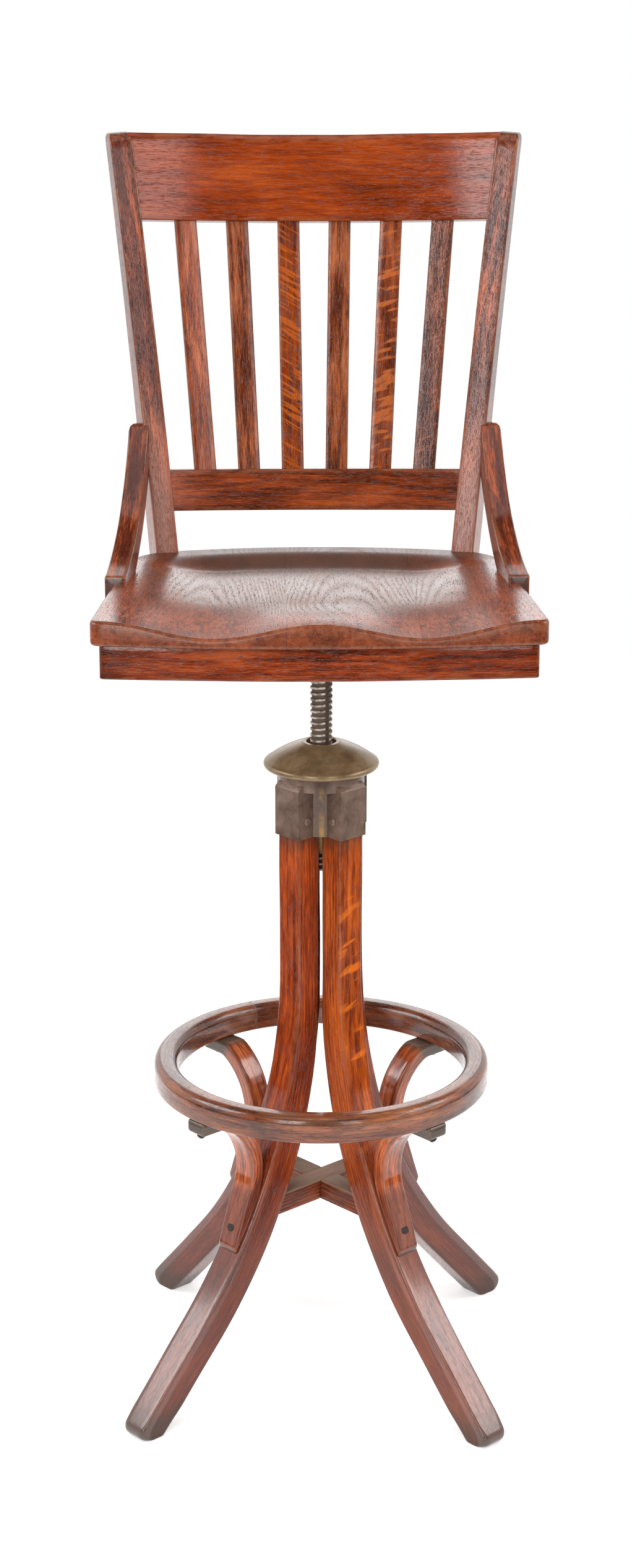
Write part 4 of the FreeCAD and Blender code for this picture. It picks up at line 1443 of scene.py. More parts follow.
@dataclass
class Lift(Assembly):
    """Collar, dome and lifting screw.

    Attributes:
        groove: distances from the middle of a thread, in turns, where its flank starts and ends.
        rows_per_pitch: rows of points in one pitch.
        round_points: points of a row outside the keyway.
        keyway: the keyway's width, depth and direction in degrees.
        keyway_points: points of a row at the keyway, in halves of its width.
        keyway_clear: where the other points start, in halves of its width.
        keyway_edge: where its floor ends, in halves of its width.
        dome_outside: three (radius, height) points of the dome's outer curve; rim and inside follow.
        dome_well: outline of the bore and of the shallow well round the screw.
        dome_lip: middle and radius of the well's lip; the shoulder's follow.
    """

    screw_r: float = 11.7
    screw_low: float = 565.0
    screw_high: float = 820.0
    pitch: float = 6.35
    thread_depth: float = 1.7
    groove: Point = (0.22, 0.36)
    rows_per_pitch: int = 10
    round_points: int = 64
    keyway: Triple = (5.0, 3.2, -57.0)
    keyway_points: tuple[float, ...] = (-1.04, -1.0, -0.5, 0.0, 0.5, 1.0, 1.04)
    keyway_clear: float = 1.5
    keyway_edge: float = 1.001
    collar_ease: float = 1.2
    collar_seam: Point = (4.0, 616.0)
    dome_outside: tuple[Point, Point, Point] = ((20.5, 704.0), (42.0, 694.9), (57.5, 684.7))
    dome_rim: tuple[Point, Point, Point] = ((57.5, 684.7), (60.2, 680.3), (57.0, 677.0))
    dome_inside: tuple[Point, Point, Point] = ((52.5, 677.0), (42.0, 689.4), (26.0, 694.9))
    dome_well: tuple[Point, ...] = (
        (26.0, 681.3), (12.1, 681.3), (12.1, 699.5), (15.0, 699.5), (15.5, 700.0), (15.5, 703.6))
    dome_lip: tuple[Point, float] = ((16.5, 703.5), 1.0)
    dome_shoulder: tuple[Point, float] = ((19.5, 703.0), 1.5)

    def dress(self) -> None:
        """Makes the finishes: grey-brown collar, brown dome and worn screw."""
        axis = (float(self.frame.axis[0]), float(self.frame.axis[1]))
        self.take({
            "collar": IronFinish(
                "collar_cast_iron", tint(80, 63, 53), tint(119, 96, 83), tint(146, 121, 108),
                tint(178, 138, 68), Seam(axis[0], *self.collar_seam), pits=0.4, gloss=0.30,
                residue_share=0.12),
            "dome": IronFinish(
                "dome_brown_patina", tint(98, 79, 53), tint(138, 114, 82), tint(172, 147, 112),
                tint(150, 121, 77), pits=0.2, gloss=0.27),
            "screw": ScrewFinish("screw_worn_steel", self.screw_r, self.thread_depth, axis)})

    def thread(self) -> Surface:
        """Screw: the radius falls into a groove once in each pitch of climb, and into the keyway.

        With phase p = height / pitch - angle / turn, the groove's share is an eased step of the distance
        of p from the nearest whole turn. Inside the keyway's width the radius is that of its flat floor.

        Returns:
            The screw's surface.
        """
        width, deep, at = self.keyway
        half, at = np.arcsin(width / 2 / self.screw_r), np.radians(at)
        close, clear = half * np.array(self.keyway_points), half * self.keyway_clear
        others = np.linspace(clear, FULL_TURN - clear, self.round_points)
        angle = np.sort(at + np.concatenate([close, others]))
        rows = int((self.screw_high - self.screw_low) / self.pitch * self.rows_per_pitch)
        height = np.linspace(self.screw_low, self.screw_high, rows)[:, None]
        phase = height / self.pitch - angle[None, :] / FULL_TURN
        groove = smooth(*self.groove, 0.5 - np.abs(phase % 1 - 0.5))
        radius = self.screw_r - self.thread_depth * (1 - groove)
        away = (angle - at + np.pi) % FULL_TURN - np.pi
        floor = (self.screw_r - deep) / np.cos(np.clip(away, -half, half))
        in_keyway = np.abs(away) <= half * self.keyway_edge
        radius = np.where(in_keyway, np.minimum(radius, floor), radius)
        points = np.stack(np.broadcast_arrays(radius * np.cos(angle), radius * np.sin(angle), height), -1)
        plain = np.zeros((radius.size + 2, 3))
        return capped(points, np.array([[0, 0, self.screw_low], [0, 0, self.screw_high]]), plain, plain)

    @staticmethod
    def through(points: tuple[Point, Point, Point], count: int) -> np.ndarray:
        """Points of the circle through three points, from the first to the last.

        Args:
            points: the three points.
            count: number of points.

        Returns:
            The points.
        """
        (ax, ay), (bx, by), (cx, cy) = points
        twice = 2 * (ax * (by - cy) + bx * (cy - ay) + cx * (ay - by))
        sa, sb, sc = ax**2 + ay**2, bx**2 + by**2, cx**2 + cy**2
        centre = (
            (sa * (by - cy) + sb * (cy - ay) + sc * (ay - by)) / twice,
            (sa * (cx - bx) + sb * (ax - cx) + sc * (bx - ax)) / twice)
        angles = np.unwrap([np.arctan2(y - centre[1], x - centre[0]) for x, y in points])
        start, _, end = np.degrees(angles)
        return arc(centre, float(np.hypot(ax - centre[0], ay - centre[1])), start, end, count)

    def dome(self) -> Surface:
        """Domed cap: a sweep from its shoulder to a rounded rim, hollow beneath, turned round the screw.

        Returns:
            The dome's surface.
        """
        return revolved(np.concatenate([
            self.through(self.dome_outside, count=24),
            self.through(self.dome_rim, count=10)[1:],
            self.through(self.dome_inside, count=14),
            self.dome_well,
            arc(*self.dome_lip, 180, 90, count=4),
            arc(*self.dome_shoulder, 90, 50, count=4)]), count=160)

    def build(self) -> None:
        """Makes the collar, dome and screw, and paints the small and hidden pieces."""
        self.ease("leg_collar", self.collar_ease, "collar")
        self.put("hub_dome", self.dome(), "dome", Stuff.IRON)
        self.put("height_screw", self.thread(), "screw", Stuff.STEEL)
        self.paint("collar", "collar_rivets", "hub_nut")
        self.paint("dome", "screw_key")


@dataclass(frozen=True)
class Bow:
    """A bowed edge in plan: half its length, where its ends lie, and how far its middle stands out."""

    half: float
    y: float
    bow: float

    def radius(self) -> float:
        """Radius of its arc, from half the chord and the height of the arc over it."""
        return (self.half**2 + self.bow**2) / (2 * self.bow)


@dataclass
class Seat(Assembly):
    """Carved seat and its frame, in the seat's own sloping frame with zero at its underside.

    Attributes:
        bowl_side: shares of the half width between which the bowl rises to the sides.
        wall: of the bowl's rear wall, where it stands, how far it curves forward at what distance across,
            and its run.
        thigh: depth of the thigh hollows, how far across they reach, and the drop of the whole front.
        thigh_run: where the hollows are full, and where they have run out into the bowl.
        apron_side: the two ends of the right apron's face, in plan.
        seeds: where in the timber the four aprons are cut.
    """

    height: float = 848.4
    slope: float = 2.5
    thick: float = 28.0
    front: Bow = Bow(222.0, -200.0, 21.0)
    back: Bow = Bow(191.5, 150.0, 38.0)
    front_corner: float = 9.0
    back_corner: float = 34.0
    arris: float = 4.0
    centre_y: float = -15.0
    reach: float = 420.0
    bowl: float = 13.0
    bowl_side: Point = (0.50, 1.0)
    wall: tuple[float, float, float, float] = (160.0, 15.0, 110.0, 42.0)
    thigh: Triple = (14.5, 208.0, 3.5)
    thigh_run: Point = (-222.0, -60.0)
    end_grain: float = 0.05
    apron_height: float = 33.5
    apron_thick: float = 22.0
    apron_ease: Point = (2.0, 1.2)
    apron_end: End = End(4.0, 1.0, 0.2)
    apron_front: Bow = Bow(212.5, -195.0, 14.0)
    apron_side: tuple[Point, Point] = ((205.0, -180.0), (174.0, 165.0))
    apron_side_set: float = 8.0
    apron_back_y: float = 146.0
    apron_back_set: float = 4.0
    iron_ease: float = 1.2
    seeds: tuple[float, float, float, float] = (31.0, 33.0, 35.0, 37.0)

    def dress(self) -> None:
        """Makes the finishes: a polished seat worn pale in the middle, greyed there as painted sheen and
        darkened at its rear wall as painted shade, stained aprons and black iron.
        """
        self.take({
            "seat": OakFinish(
                "seat_oak_polished", dark=tint(76, 31, 14), middle=tint(134, 58, 25),
                light=tint(170, 82, 38), ray=tint(166, 78, 36), contrast=0.8, cut=Cut.QUARTERED,
                fleck_mm=(5.0, 13.0), fleck_slant=0.0, fleck_zone=(0.16, 0.10), ring_mm=2.2,
                ring_share=0.1, lean=0.0, crown=0.004, tilt=0.03, sway=3.0, stain=0.25, pores=0.55,
                # painted shade: the seat's rear wall and rim are darkened
                grime_shade_and_sheen=(Zone(0.77, 0.85, 0.6, tint(62, 40, 28)),),
                # worn patch in the seat's middle: partly wear, partly painted sheen
                wear_and_sheen_oval=Oval((-4.0, 22.0), (172.0, 165.0), 0.7), gloss=0.22, relief=0.20,
                ripple_mm=(0.9, 9.0),
                boards=(Board(-400.0, 127.0), Board(-32.0, -160.0), Board(98.0, -127.0))),
            "apron": OakFinish(
                "apron_oak", middle=tint(126, 47, 18), light=tint(168, 76, 35),
                grime_shade_and_sheen=(Zone(0.10, 0.02, 0.55, tint(54, 21, 13), 0.0),)),
            "iron": IronFinish(
                "seat_iron_black", tint(34, 30, 28), tint(60, 54, 50), tint(88, 80, 74),
                tint(104, 84, 62))})

    def origin(self) -> np.ndarray:
        """Where the sizes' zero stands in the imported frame: in the seat's middle plane."""
        return self.frame.seat_at

    def placed(self, points: np.ndarray) -> np.ndarray:
        """Turns points of the seat's frame back about X, then lifts them.

        Args:
            points: places in the seat's frame.

        Returns:
            The places in the chair's frame.
        """
        c, s = np.cos(np.radians(self.slope)), np.sin(np.radians(self.slope))
        x, y, z = np.moveaxis(points, -1, 0)
        return np.stack([x, y * c + z * s, self.height - y * s + z * c], -1)

    def half_width(self, y: np.ndarray) -> np.ndarray:
        """Half the seat's width at a distance from the screw: straight from front to back."""
        return np.interp(y, [self.front.y, self.back.y], [self.front.half, self.back.half])

    def depth(self, x: np.ndarray, y: np.ndarray) -> np.ndarray:
        """Carved depth.

        A bowl that rises to the sides and to a curved rear wall, blended towards the front into a drop
        with two thigh hollows, the square of a sine across the seat, beside the pommel.

        Args:
            x: distance across.
            y: distance back from the screw.

        Returns:
            Depth below the board's top.
        """
        side = np.abs(x) / self.half_width(y)
        wall_y, curve, curve_at, run = self.wall
        behind = y - (wall_y - curve * (x / curve_at) ** 2)
        bowl = self.bowl * (1 - smooth(*self.bowl_side, side)) * (1 - smooth(-run, 0.0, behind))
        deep, span, drop = self.thigh
        front = drop + deep * np.sin(np.pi * np.minimum(np.abs(x) / span, 1)) ** 2
        share = smooth(*self.thigh_run, y)
        return (1 - share) * front + share * bowl

    @staticmethod
    def rounded(a: np.ndarray, b: np.ndarray, radius: float) -> np.ndarray:
        """Distance outside two edges at once, with a round corner where they meet."""
        out = np.hypot(np.maximum(a + radius, 0), np.maximum(b + radius, 0))
        return out + np.minimum(np.maximum(a, b) + radius, 0) - radius

    def outside(self, x: np.ndarray, y: np.ndarray) -> np.ndarray:
        """Distance outside the plan: bowed front, tapering sides and bowed back, with round corners.

        Args:
            x: distance across.
            y: distance back from the screw.

        Returns:
            The distance, below 0 inside.
        """
        front, back = self.front, self.back
        off_front = np.hypot(x, y - (front.y - front.bow + front.radius())) - front.radius()
        off_back = np.hypot(x, y - (back.y + back.bow - back.radius())) - back.radius()
        taper = np.arctan2(front.half - back.half, back.y - front.y)
        off_side = (np.abs(x) - front.half) * np.cos(taper) + (y - front.y) * np.sin(taper)
        return np.maximum(
            self.rounded(off_front, off_side, self.front_corner),
            self.rounded(off_back, off_side, self.back_corner))

    def outline(self, count: int) -> tuple[np.ndarray, np.ndarray]:
        """Edge of the plan, found on rays from the middle by halving.

        Args:
            count: number of rays.

        Returns:
            The edge's points and its outward normals.
        """
        angle = np.linspace(0, FULL_TURN, count, endpoint=False)
        ray = np.stack([np.cos(angle), np.sin(angle)], -1)
        near, far = np.zeros(count), np.full(count, self.reach)
        for _ in range(48):
            middle = (near + far) / 2
            inside = self.outside(middle * ray[:, 0], self.centre_y + middle * ray[:, 1]) < 0
            near, far = np.where(inside, middle, near), np.where(inside, far, middle)
        edge = near[:, None] * ray + [0.0, self.centre_y]
        along = np.roll(edge, -1, axis=0) - np.roll(edge, 1, axis=0)
        normal = np.stack([along[:, 1], -along[:, 0]], -1)
        return edge, normal / np.linalg.norm(normal, axis=1, keepdims=True)

    def board(self) -> Surface:
        """Carved board: rings from the middle out over the top, round the rim, down and back below.

        A ring is the plan's edge drawn in by a distance and scaled towards the middle; its height is the
        carved top, a quarter round of the arris, the side, or the flat underside.

        Returns:
            The seat's surface.
        """
        top_rings, round_rings, side_rings, foot_rings = 76, 5, 2, 6
        first_ring, side_shares, last_rings = 0.012, (0.33, 0.66), (0.5, 0.02)
        rim = top_rings + round_rings
        foot = rim + side_rings
        under = foot + foot_rings
        edge, normal = self.outline(count=440)
        middle = np.array([0.0, self.centre_y])
        turn = np.linspace(0, QUARTER_TURN, foot_rings)
        scale = np.concatenate([
            np.linspace(first_ring, 1, top_rings), np.ones(under - top_rings), last_rings])
        draw = self.arris * np.concatenate([
            np.ones(top_rings), 1 - np.sin(turn[1:]), np.zeros(side_rings), 1 - np.cos(turn), np.ones(2)])
        plan = middle + scale[:, None, None] * (edge - draw[:, None, None] * normal - middle)
        z = np.zeros(plan.shape[:2])
        drop = self.arris * np.concatenate([np.zeros(top_rings), 1 - np.cos(turn[1:])])
        z[:rim] = self.thick - self.depth(plan[:rim, :, 0], plan[:rim, :, 1]) - drop[:, None]
        share = np.array(side_shares)[:, None]
        z[rim:foot] = z[rim - 1] * (1 - share) + self.arris * share
        z[foot:under] = (self.arris * (1 - np.sin(turn)))[:, None]
        points = np.concatenate([plan, z[..., None]], -1)
        pole_z = self.thick - self.depth(np.zeros(1), np.full(1, self.centre_y))[0]
        poles = np.array([[*middle, pole_z], [*middle, 0.0]])
        grain = np.concatenate([points.reshape(-1, 3), poles])[:, [0, 2, 1]]
        arris, facing = np.zeros((len(z), 1)), np.zeros((len(z), 1))
        arris[top_rings - 1:rim + 1] = 1
        arris[foot:under] = 1
        facing[rim:foot] = self.end_grain
        front_y = self.front.y - self.front.bow
        share = (plan[..., 1] - front_y) / (self.back.y + self.back.bow - front_y)
        trim = np.stack(np.broadcast_arrays(arris, facing * np.abs(normal[:, 1]), share), -1)
        trim = np.concatenate([trim.reshape(-1, 3), [[0, 0, 0.5], [0, 0, 0.5]]])
        return capped(self.placed(points), self.placed(poles), grain, trim)

    def apron(self, face: np.ndarray, back: np.ndarray, seed: float) -> Surface:
        """A rail of the seat frame: a bar between two lines in plan, standing down from the seat.

        Args:
            face: the outer line.
            back: the inner line.
            seed: where in the timber it is cut.

        Returns:
            The apron's surface.
        """
        middle = np.full((len(face), 1), -self.apron_height / 2)
        face, back = (self.placed(np.concatenate([line, middle], 1)) for line in (face, back))
        up = self.placed(UP) - self.placed(np.zeros(3))
        return bar(
            face, back, up, self.apron_height, self.apron_ease, start=self.apron_end, end=self.apron_end,
            step=8.0, seed=seed)

    def aprons(self) -> dict[str, Surface]:
        """The four rails of the seat frame: a bowed front and straight sides and back.

        Returns:
            Each apron's surface, by its side.
        """
        bow, thick = self.apron_front, self.apron_thick
        reach = np.degrees(np.arcsin(bow.half / bow.radius()))
        centre = (0.0, bow.y - bow.bow + bow.radius())
        front = arc(centre, bow.radius(), 270 - reach, 270 + reach, count=60)
        start, finish = (np.array(point) for point in self.apron_side)
        along = (finish - start) / np.linalg.norm(finish - start)
        side = np.linspace(start + along * self.apron_side_set, finish, 40)
        inside = side + thick * np.array([-along[1], along[0]])
        half = finish[0] - self.apron_back_set
        rail = np.stack([np.linspace(-half, half, 40), np.full(40, self.apron_back_y)], -1)
        flip, deep = np.array([-1.0, 1.0]), np.array([0.0, thick])
        lines = {
            "front": (front, front + deep), "right": (side, inside), "left": (side * flip, inside * flip),
            "back": (rail + deep, rail)}
        return {name: self.apron(*pair, seed) for (name, pair), seed in zip(lines.items(), self.seeds)}

    def build(self) -> None:
        """Makes the board and its frame, and paints the ironwork beneath."""
        self.put("seat", self.board(), "seat")
        for name, surface in self.aprons().items():
            self.put("apron_" + name, surface, "apron")
        self.ease("seat_iron", self.iron_ease, "iron")
        self.paint("fixing", "seat_iron_screws")


@dataclass(frozen=True)
class Rail:
    """A curved rail of the back.

    Attributes:
        y: where its middle stands.
        low: height of its lower edge.
        width: its width, upright.
        lean: how far it leans back, degrees.
        half: half its length.
        ease: radius of its lower and upper arrises.
        seed: where in the timber it is cut.
    """

    y: float
    low: float
    width: float
    lean: float
    half: float
    ease: Point
    seed: float


@dataclass
class Back(Assembly):
    """Posts, rails, slats and side braces.

    Attributes:
        post_depth: depth of a post at its foot and at its head.
        slat: width and thickness of a slat.
        slat_pitch: distance between slats at the lower rail and at the crest.
        slat_set: how far behind the face of the lower rail and of the crest they stand.
        slat_finishes: the slats' finishes, from the left.
        brace_front: where the front edge of a brace starts, back from the screw and above its base.
        brace_slopes: degrees from upright at which a brace's bend starts and ends.
        seeds: where in the timber the posts, the braces and the first slat are cut.
        slat_seed: how far apart two slats are cut.
    """

    post_foot: Triple = (169.0, 150.0, 868.0)
    post_head: Triple = (215.7, 230.0, 1303.0)
    post_width: float = 24.0
    post_depth: Point = (44.0, 28.0)
    post_toe: float = 14.0
    post_bend: float = 7.5
    post_drop: float = 60.0
    post_ease: Point = (2.2, 2.2)
    post_end: End = End(9.0, 1.0, 0.28)
    rail_bend: float = 1080.0
    rail_thick: float = 19.0
    crest: Rail = Rail(233.0, 1211.5, 92.0, 13.6, 197.0, (1.6, 6.0), 41.0)
    lower: Rail = Rail(174.0, 911.5, 44.0, 7.8, 162.0, (1.8, 2.2), 43.0)
    slat: Point = (23.5, 9.0)
    slat_pitch: Point = (46.9, 54.8)
    slat_set: Point = (2.5, 5.0)
    slat_ease: Point = (1.3, 1.3)
    slat_mortise: float = 6.0
    slat_finishes: tuple[str, ...] = (
        "slat", "slat_dark", "slat_rayed", "slat_dark", "slat_flaked", "slat_open")
    brace_outer_x: float = 213.5
    brace_plan: float = 5.4
    brace_thick: float = 21.3
    brace_base: float = 850.0
    brace_front: Point = (-24.0, 35.0)
    brace_slopes: Point = (7.0, 58.4)
    brace_bend: float = 270.0
    brace_width: float = 31.0
    brace_ease: Point = (2.0, 2.0)
    brace_end: End = End(15.0, 1.0, 0.62)
    seeds: Triple = (45.0, 48.0, 51.0)
    slat_seed: float = 3.0

    def dress(self) -> None:
        """Makes the finishes: smooth crest, slats of several boards, open-grained posts painted lighter
        low down as sheen, and braces.
        """
        self.take({
            "crest": OakFinish(
                "crest_oak", dark=tint(88, 30, 8), middle=tint(140, 52, 12), light=tint(180, 80, 22),
                contrast=0.55, pores=0.3, stain=0.15, gloss=0.08, relief=0.16),
            "rail": OakFinish(
                "rail_oak", dark=tint(82, 31, 11), middle=tint(132, 55, 21), light=tint(170, 78, 34),
                pores=0.4),
            "slat": OakFinish(
                "slat_oak", dark=tint(98, 41, 20), middle=tint(150, 70, 36), light=tint(192, 104, 62),
                stain=0.15),
            "slat_dark": OakFinish(
                "slat_oak_dark", dark=tint(84, 35, 16), middle=tint(140, 70, 38),
                light=tint(180, 102, 60), contrast=1.2, stain=0.45),
            "slat_rayed": OakFinish(
                "slat_oak_rayed", dark=tint(86, 31, 9), middle=tint(124, 48, 12), light=tint(156, 70, 19),
                ray=tint(186, 88, 22), cut=Cut.QUARTERED, fleck_mm=(34.0, 4.2), fleck_slant=0.6,
                fleck_zone=(0.5, 0.65)),
            "slat_flaked": OakFinish(
                "slat_oak_flaked", dark=tint(84, 34, 14), middle=tint(130, 57, 25),
                light=tint(162, 80, 40), ray=tint(186, 97, 44), cut=Cut.QUARTERED, fleck_mm=(26.0, 6.5),
                fleck_slant=-0.35, fleck_zone=(0.5, 0.65)),
            "slat_open": OakFinish(
                "slat_oak_open", dark=tint(68, 27, 13), middle=tint(104, 48, 28), light=tint(148, 84, 58),
                ray=tint(170, 88, 46), contrast=1.2, cut=Cut.MIXED, fleck_slant=-0.5, pores=0.7,
                relief=0.9),
            "post": OakFinish(
                "post_oak", middle=tint(106, 45, 26), ray=tint(152, 86, 60), cut=Cut.MIXED,
                fleck_mm=(34.0, 5.0), fleck_slant=0.55, stain=0.5, pores=0.8, relief=0.9,
                # painted sheen: each post's lower half is painted lighter and greyer
                grime_shade_and_sheen=(Zone(0.50, 0.26, 0.60, tint(184, 120, 98), 0.0),)),
            "brace": OakFinish(
                "brace_oak", middle=tint(106, 47, 28), stain=0.6, pores=0.6, coat=0.5, relief=0.4)})

    def origin(self) -> np.ndarray:
        """Where the sizes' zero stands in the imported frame: in the seat's middle plane."""
        return self.frame.seat_at

    def post(self, hand: Hand, seed: float) -> Surface:
        """A back post: two bent lines in its own plane, leaning out, toed in and set on the seat.

        Each line is straight below the seat and a shallow parabola above it.

        Args:
            hand: the side that it stands on.
            seed: where in the timber it is cut.

        Returns:
            The post's surface.
        """
        foot = np.array(self.post_foot)
        out, back, rise = np.array(self.post_head) - foot
        toe = np.radians(self.post_toe)
        lean = back * np.cos(toe) + out * np.sin(toe)
        tilt = np.arctan2(out * np.cos(toe) - back * np.sin(toe), rise)
        share = np.concatenate([[-self.post_drop / rise], np.linspace(0, 1, 60)])
        sag = -4 * self.post_bend * np.where(share > 0, share * (1 - share), share)

        def line(depth: Point) -> np.ndarray:
            """One face of the post, turned and placed.

            Args:
                depth: its distance behind the front face at the foot and at the head.

            Returns:
                Points from below the seat to the head.
            """
            y = depth[0] + (lean + depth[1] - depth[0]) * share + sag
            x, z = np.full_like(y, -self.post_width / 2), share * rise
            x, z = x * np.cos(tilt) + z * np.sin(tilt), z * np.cos(tilt) - x * np.sin(tilt)
            x, y = x * np.cos(toe) + y * np.sin(toe), y * np.cos(toe) - x * np.sin(toe)
            return hand.of(np.stack([x, y, z], -1) + foot)

        side = np.array([np.cos(tilt) * np.cos(toe), -np.cos(tilt) * np.sin(toe), -np.sin(tilt)])
        return bar(
            line((0.0, 0.0)), line(self.post_depth), hand.of(side), self.post_width, self.post_ease,
            end=self.post_end, seed=seed)

    def rail_point(self, rail: Rail, x: np.ndarray, deep: float, rise: float) -> np.ndarray:
        """Points of a rail: on a circle in plan, then leaning back.

        Args:
            rail: the rail.
            x: distances across.
            deep: distance behind its front face.
            rise: distance above its lower edge.

        Returns:
            The points.
        """
        y = np.sqrt((self.rail_bend + deep)**2 - x**2) - self.rail_bend
        c, s = np.cos(np.radians(rail.lean)), np.sin(np.radians(rail.lean))
        return np.stack([x, y * c + rise * s + rail.y, rail.low - y * s + rise * c], -1)

    def rail(self, rail: Rail) -> Surface:
        """A curved rail: a bar between two arcs of one centre, leaning back with its width upright.

        Args:
            rail: its sizes.

        Returns:
            The rail's surface.
        """
        x = np.linspace(-rail.half, rail.half, 60)
        face, back = (self.rail_point(rail, x, deep, rail.width / 2) for deep in (0.0, self.rail_thick))
        lean = np.radians(rail.lean)
        up = np.array([0.0, np.sin(lean), np.cos(lean)])
        return bar(face, back, up, rail.width, rail.ease, start=End(0.5), end=End(0.5), seed=rail.seed)

    def slat_bar(self, number: int) -> Surface:
        """A straight slat from the lower rail to the crest, fanned out upwards.

        Args:
            number: its number from the left, from 0.

        Returns:
            The slat's surface.
        """
        place = np.array([number - (len(self.slat_finishes) - 1) / 2])
        width, thick = self.slat
        low_set, high_set = (behind + thick / 2 for behind in self.slat_set)
        low = self.rail_point(self.lower, place * self.slat_pitch[0], low_set, self.lower.width)[0]
        high = self.rail_point(self.crest, place * self.slat_pitch[1], high_set, 0.0)[0]
        along = (high - low) / np.linalg.norm(high - low)
        lean = float(place[0]) * self.slat_pitch[1] / self.rail_bend
        through = np.cross(along, [np.cos(lean), -np.sin(lean), 0.0])
        through = through / np.linalg.norm(through)
        line = np.linspace(low - along * self.slat_mortise, high + along * self.slat_mortise, 40)
        return bar(
            line - through * thick / 2, line + through * thick / 2, np.cross(through, along), width,
            self.slat_ease, start=End(0.3), end=End(0.3), seed=self.seeds[2] + self.slat_seed * number)

    def brace(self, hand: Hand, seed: float) -> Surface:
        """A side brace: a band between two arcs of one centre, in an upright plane along the seat's side.

        Args:
            hand: the side that it stands on.
            seed: where in the timber it is cut.

        Returns:
            The brace's surface.
        """
        start, end = np.radians(self.brace_slopes)
        centre_a = self.brace_front[0] - self.brace_bend * np.sin(start)
        centre_b = self.brace_front[1] + self.brace_bend * np.cos(start)
        far = self.brace_bend + self.brace_width
        foot = np.arcsin((self.brace_front[0] - centre_a) / far)
        plan = np.radians(self.brace_plan)
        inward = np.array([-np.cos(plan), -np.sin(plan), 0.0])

        def line(radius: float, first: float) -> np.ndarray:
            """One edge of the band, on its middle plane.

            Args:
                radius: radius of its arc.
                first: slope at which it starts.

            Returns:
                Points from the foot to the head.
            """
            slope = np.linspace(first, end, 60)
            a, b = centre_a + radius * np.sin(slope), centre_b - radius * np.cos(slope)
            across = self.brace_outer_x - a * np.sin(plan)
            points = np.stack([across, a * np.cos(plan), self.brace_base + b], -1)
            return hand.of(points + inward * self.brace_thick / 2)

        return bar(
            line(self.brace_bend, start), line(far, foot), hand.of(inward), self.brace_thick,
            self.brace_ease, start=End(2.0), end=self.brace_end, step=6.0, seed=seed)

    def build(self) -> None:
        """Makes every piece of the back."""
        self.put("crest_rail", self.rail(self.crest), "crest")
        self.put("lower_rail", self.rail(self.lower), "rail")
        for number, finish in enumerate(self.slat_finishes):
            self.put("slat_%d" % (number + 1), self.slat_bar(number), finish)
        post_seed, brace_seed, _ = self.seeds
        for hand in Hand:
            name = hand.name.lower()
            self.put("back_post_" + name, self.post(hand, post_seed + hand.value), "post")
            self.put("side_brace_" + name, self.brace(hand, brace_seed + hand.value), "brace")
        self.paint("fixing", "brace_screws")


# Studio


@dataclass(frozen=True)
class SoftBox:
    """One soft lamp: where it hangs and aims, its size and its power, in metres and watts."""

    name: str
    place: Triple
    aim: Triple
    size: Point
    watts: float


@dataclass(frozen=True)
class Flag:
    """A dark card that only mirrored rays see: its middle and its two half sides, in metres."""

    name: str
    place: Triple
    half_a: Triple
    half_b: Triple


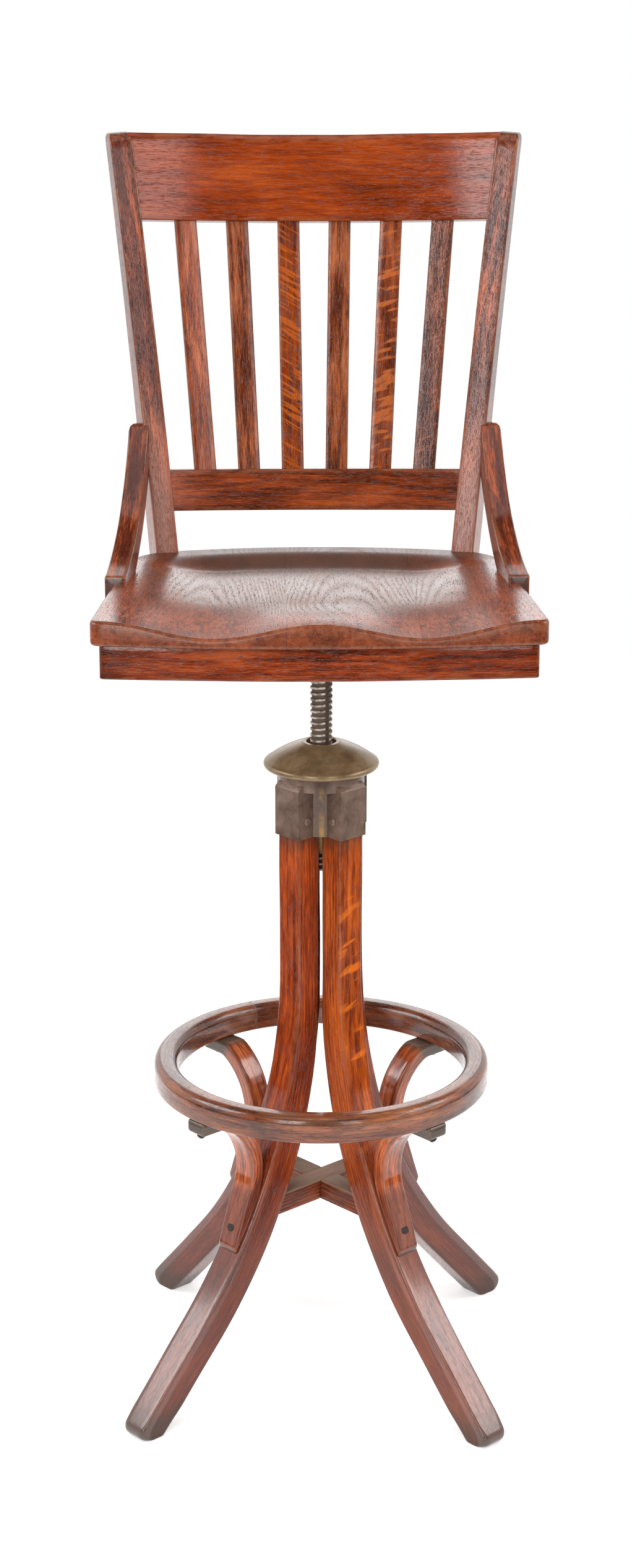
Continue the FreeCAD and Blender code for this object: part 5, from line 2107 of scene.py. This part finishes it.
@dataclass
class Studio:
    """White floor and surroundings, soft lamps, dark flags on the camera's side, and the camera.

    Attributes:
        surround: strength of the surroundings on matt surfaces.
        floor_lift: light that the floor adds where it is seen.
        floor_drop: how far below the feet it lies.
        eye: where the camera stands, metres, and eye_turn how it is turned, degrees.
    """

    lamps: tuple[SoftBox, ...] = (
        SoftBox("box_key", (-1.22, -3.2, 1.75), (0.0, 0.0, 0.8), (1.0, 2.6), 48.0),
        SoftBox("box_fill", (1.12, -3.2, 1.75), (0.0, 0.0, 0.8), (0.8, 2.6), 22.0),
        SoftBox("box_left", (-2.3, -0.3, 2.15), (0.0, 0.0, 0.7), (1.6, 1.4), 30.0),
        SoftBox("box_right", (2.3, -0.3, 2.15), (0.0, 0.0, 0.7), (1.6, 1.4), 27.0),
        SoftBox("box_top", (0.0, -0.3, 3.2), (0.0, 0.0, 0.7), (2.0, 2.0), 10.0),
        SoftBox("box_back", (0.0, 2.8, 1.55), (0.0, 0.0, 0.9), (1.8, 1.3), 9.2))
    flags: tuple[Flag, ...] = (
        Flag("flag_camera", (0.0, -4.8, 3.4), (6.0, 0.0, 0.0), (0.0, 0.0, 3.5)),
        Flag("flag_floor", (0.0, -3.2, 0.002), (5.0, 0.0, 0.0), (0.0, 1.7, 0.0)),
        Flag("flag_left", (-3.0, -0.2, 0.002), (1.9, 0.0, 0.0), (0.0, 1.3, 0.0)),
        Flag("flag_right", (3.0, -0.2, 0.002), (1.9, 0.0, 0.0), (0.0, 1.3, 0.0)),
        Flag("flag_top", (0.0, -0.2, 4.4), (4.0, 0.0, 0.0), (0.0, 4.6, 0.0)))
    flag_tone: Colour = (0.03, 0.03, 0.03, 1.0)
    surround: float = 0.52
    floor_half: float = 3.0
    floor_lift: float = 0.45
    floor_drop: float = 0.0004
    floor_tone: Colour = (0.82, 0.82, 0.82, 1.0)
    eye: Triple = (-0.0413, -3.0659, 1.595)
    eye_turn: Triple = (72.96, 0.0, -0.75)
    lens_mm: float = 69.994
    sensor_mm: float = 36.0

    @staticmethod
    def seen_directly(graph: Graph) -> Wire:
        """1 for rays from the camera and for mirrored and passing rays, else 0."""
        rays = ("Is Camera Ray", "Is Glossy Ray", "Is Transmission Ray")
        return graph.math("MINIMUM", sum(graph.node("ShaderNodeLightPath", out=ray) for ray in rays), 1.0)

    @staticmethod
    def sheet(name: str, middle: Triple, half_a: Triple, half_b: Triple, material: Material) -> Piece:
        """A flat four-sided stage piece.

        Args:
            name: its name.
            middle: its middle, metres.
            half_a: half of one side.
            half_b: half of the other side.
            material: its material.

        Returns:
            The piece.
        """
        middle, a, b = (np.array(value) for value in (middle, half_a, half_b))
        corners = np.array([middle - a - b, middle + a - b, middle + a + b, middle - a + b])
        mesh = bpy.data.meshes.new(name)
        mesh.from_pydata(corners.tolist(), [], [(0, 1, 2, 3)])
        mesh.materials.append(material)
        piece = linked(name, mesh)
        return piece

    def floor(self) -> None:
        """Lays a pale floor that takes the chair's shadow and shows white."""
        material, g = new_material("floor_white")
        matt = g.node("ShaderNodeBsdfDiffuse", None, {"Color": self.floor_tone})
        glow = g.node("ShaderNodeEmission", None, {"Strength": self.seen_directly(g) * self.floor_lift})
        both = g.node("ShaderNodeAddShader", None, {0: matt, 1: glow})
        g.node("ShaderNodeOutputMaterial", None, {"Surface": both})
        half = self.floor_half
        self.sheet("floor", (0.0, 0.0, -self.floor_drop), (half, 0.0, 0.0), (0.0, half, 0.0), material)

    def hang_flags(self) -> None:
        """Hangs the dark flags, which keep the front from mirroring white all over."""
        material, g = new_material("flag_black")
        matt = g.node("ShaderNodeBsdfDiffuse", None, {"Color": self.flag_tone})
        g.node("ShaderNodeOutputMaterial", None, {"Surface": matt})
        for flag in self.flags:
            card = self.sheet(flag.name, flag.place, flag.half_a, flag.half_b, material)
            card.visible_camera = False
            card.visible_diffuse = False
            card.visible_shadow = False

    def world(self) -> None:
        """Sets white all round where it is seen, and a softer white where it lights matt surfaces."""
        world = bpy.data.worlds.new("white_room")
        bpy.context.scene.world = world
        world.use_nodes = True
        g = Graph(world.node_tree)
        seen = self.seen_directly(g)
        strength = seen + (1 - seen) * self.surround
        sky = g.node("ShaderNodeBackground", None, {"Color": (1, 1, 1, 1), "Strength": strength})
        g.node("ShaderNodeOutputWorld", None, {"Surface": sky})

    def light(self) -> None:
        """Hangs the soft lamps."""
        for box in self.lamps:
            lamp = bpy.data.lights.new(box.name, "AREA")
            lamp.shape = "RECTANGLE"
            lamp.size, lamp.size_y = box.size
            lamp.energy = box.watts
            holder = linked(box.name, lamp)
            holder.location = box.place
            holder.rotation_euler = look_along(np.array(box.aim) - np.array(box.place))
            holder.visible_camera = False

    def camera(self) -> None:
        """Sets the camera at the photograph's viewing angle."""
        camera = bpy.data.cameras.new("camera")
        camera.lens = self.lens_mm
        camera.sensor_width = self.sensor_mm
        holder = linked("camera", camera)
        holder.location = self.eye
        holder.rotation_euler = np.radians(self.eye_turn)
        bpy.context.scene.camera = holder

    def build(self) -> None:
        """Sets up the whole studio."""
        self.floor()
        self.hang_flags()
        self.world()
        self.light()
        self.camera()
        bpy.context.scene.view_settings.view_transform = "Standard"


def look_along(way: np.ndarray) -> Triple:
    """Rotation that turns a lamp, which shines down its own -Z, along a direction."""
    flat = float(np.hypot(way[0], way[1]))
    return (float(np.arctan2(flat, -way[2])), 0.0, float(np.arctan2(way[1], way[0])) - QUARTER_TURN)


def main() -> None:
    """Builds the chair and its studio."""
    logging.basicConfig(level=logging.INFO, format="%(name)s: %(message)s")
    frame = Frame(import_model())
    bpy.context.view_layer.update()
    fixing = IronFinish(
        "fixing_dark_iron", tint(30, 22, 18), tint(46, 34, 28), tint(72, 58, 48), tint(96, 70, 50),
        gloss=0.55).material()
    for kind in (Base, Lift, Seat, Back):
        assembly = kind(frame, {"fixing": fixing})
        assembly.dress()
        assembly.build()
    Studio().build()


if __name__ == "__main__":
    main()
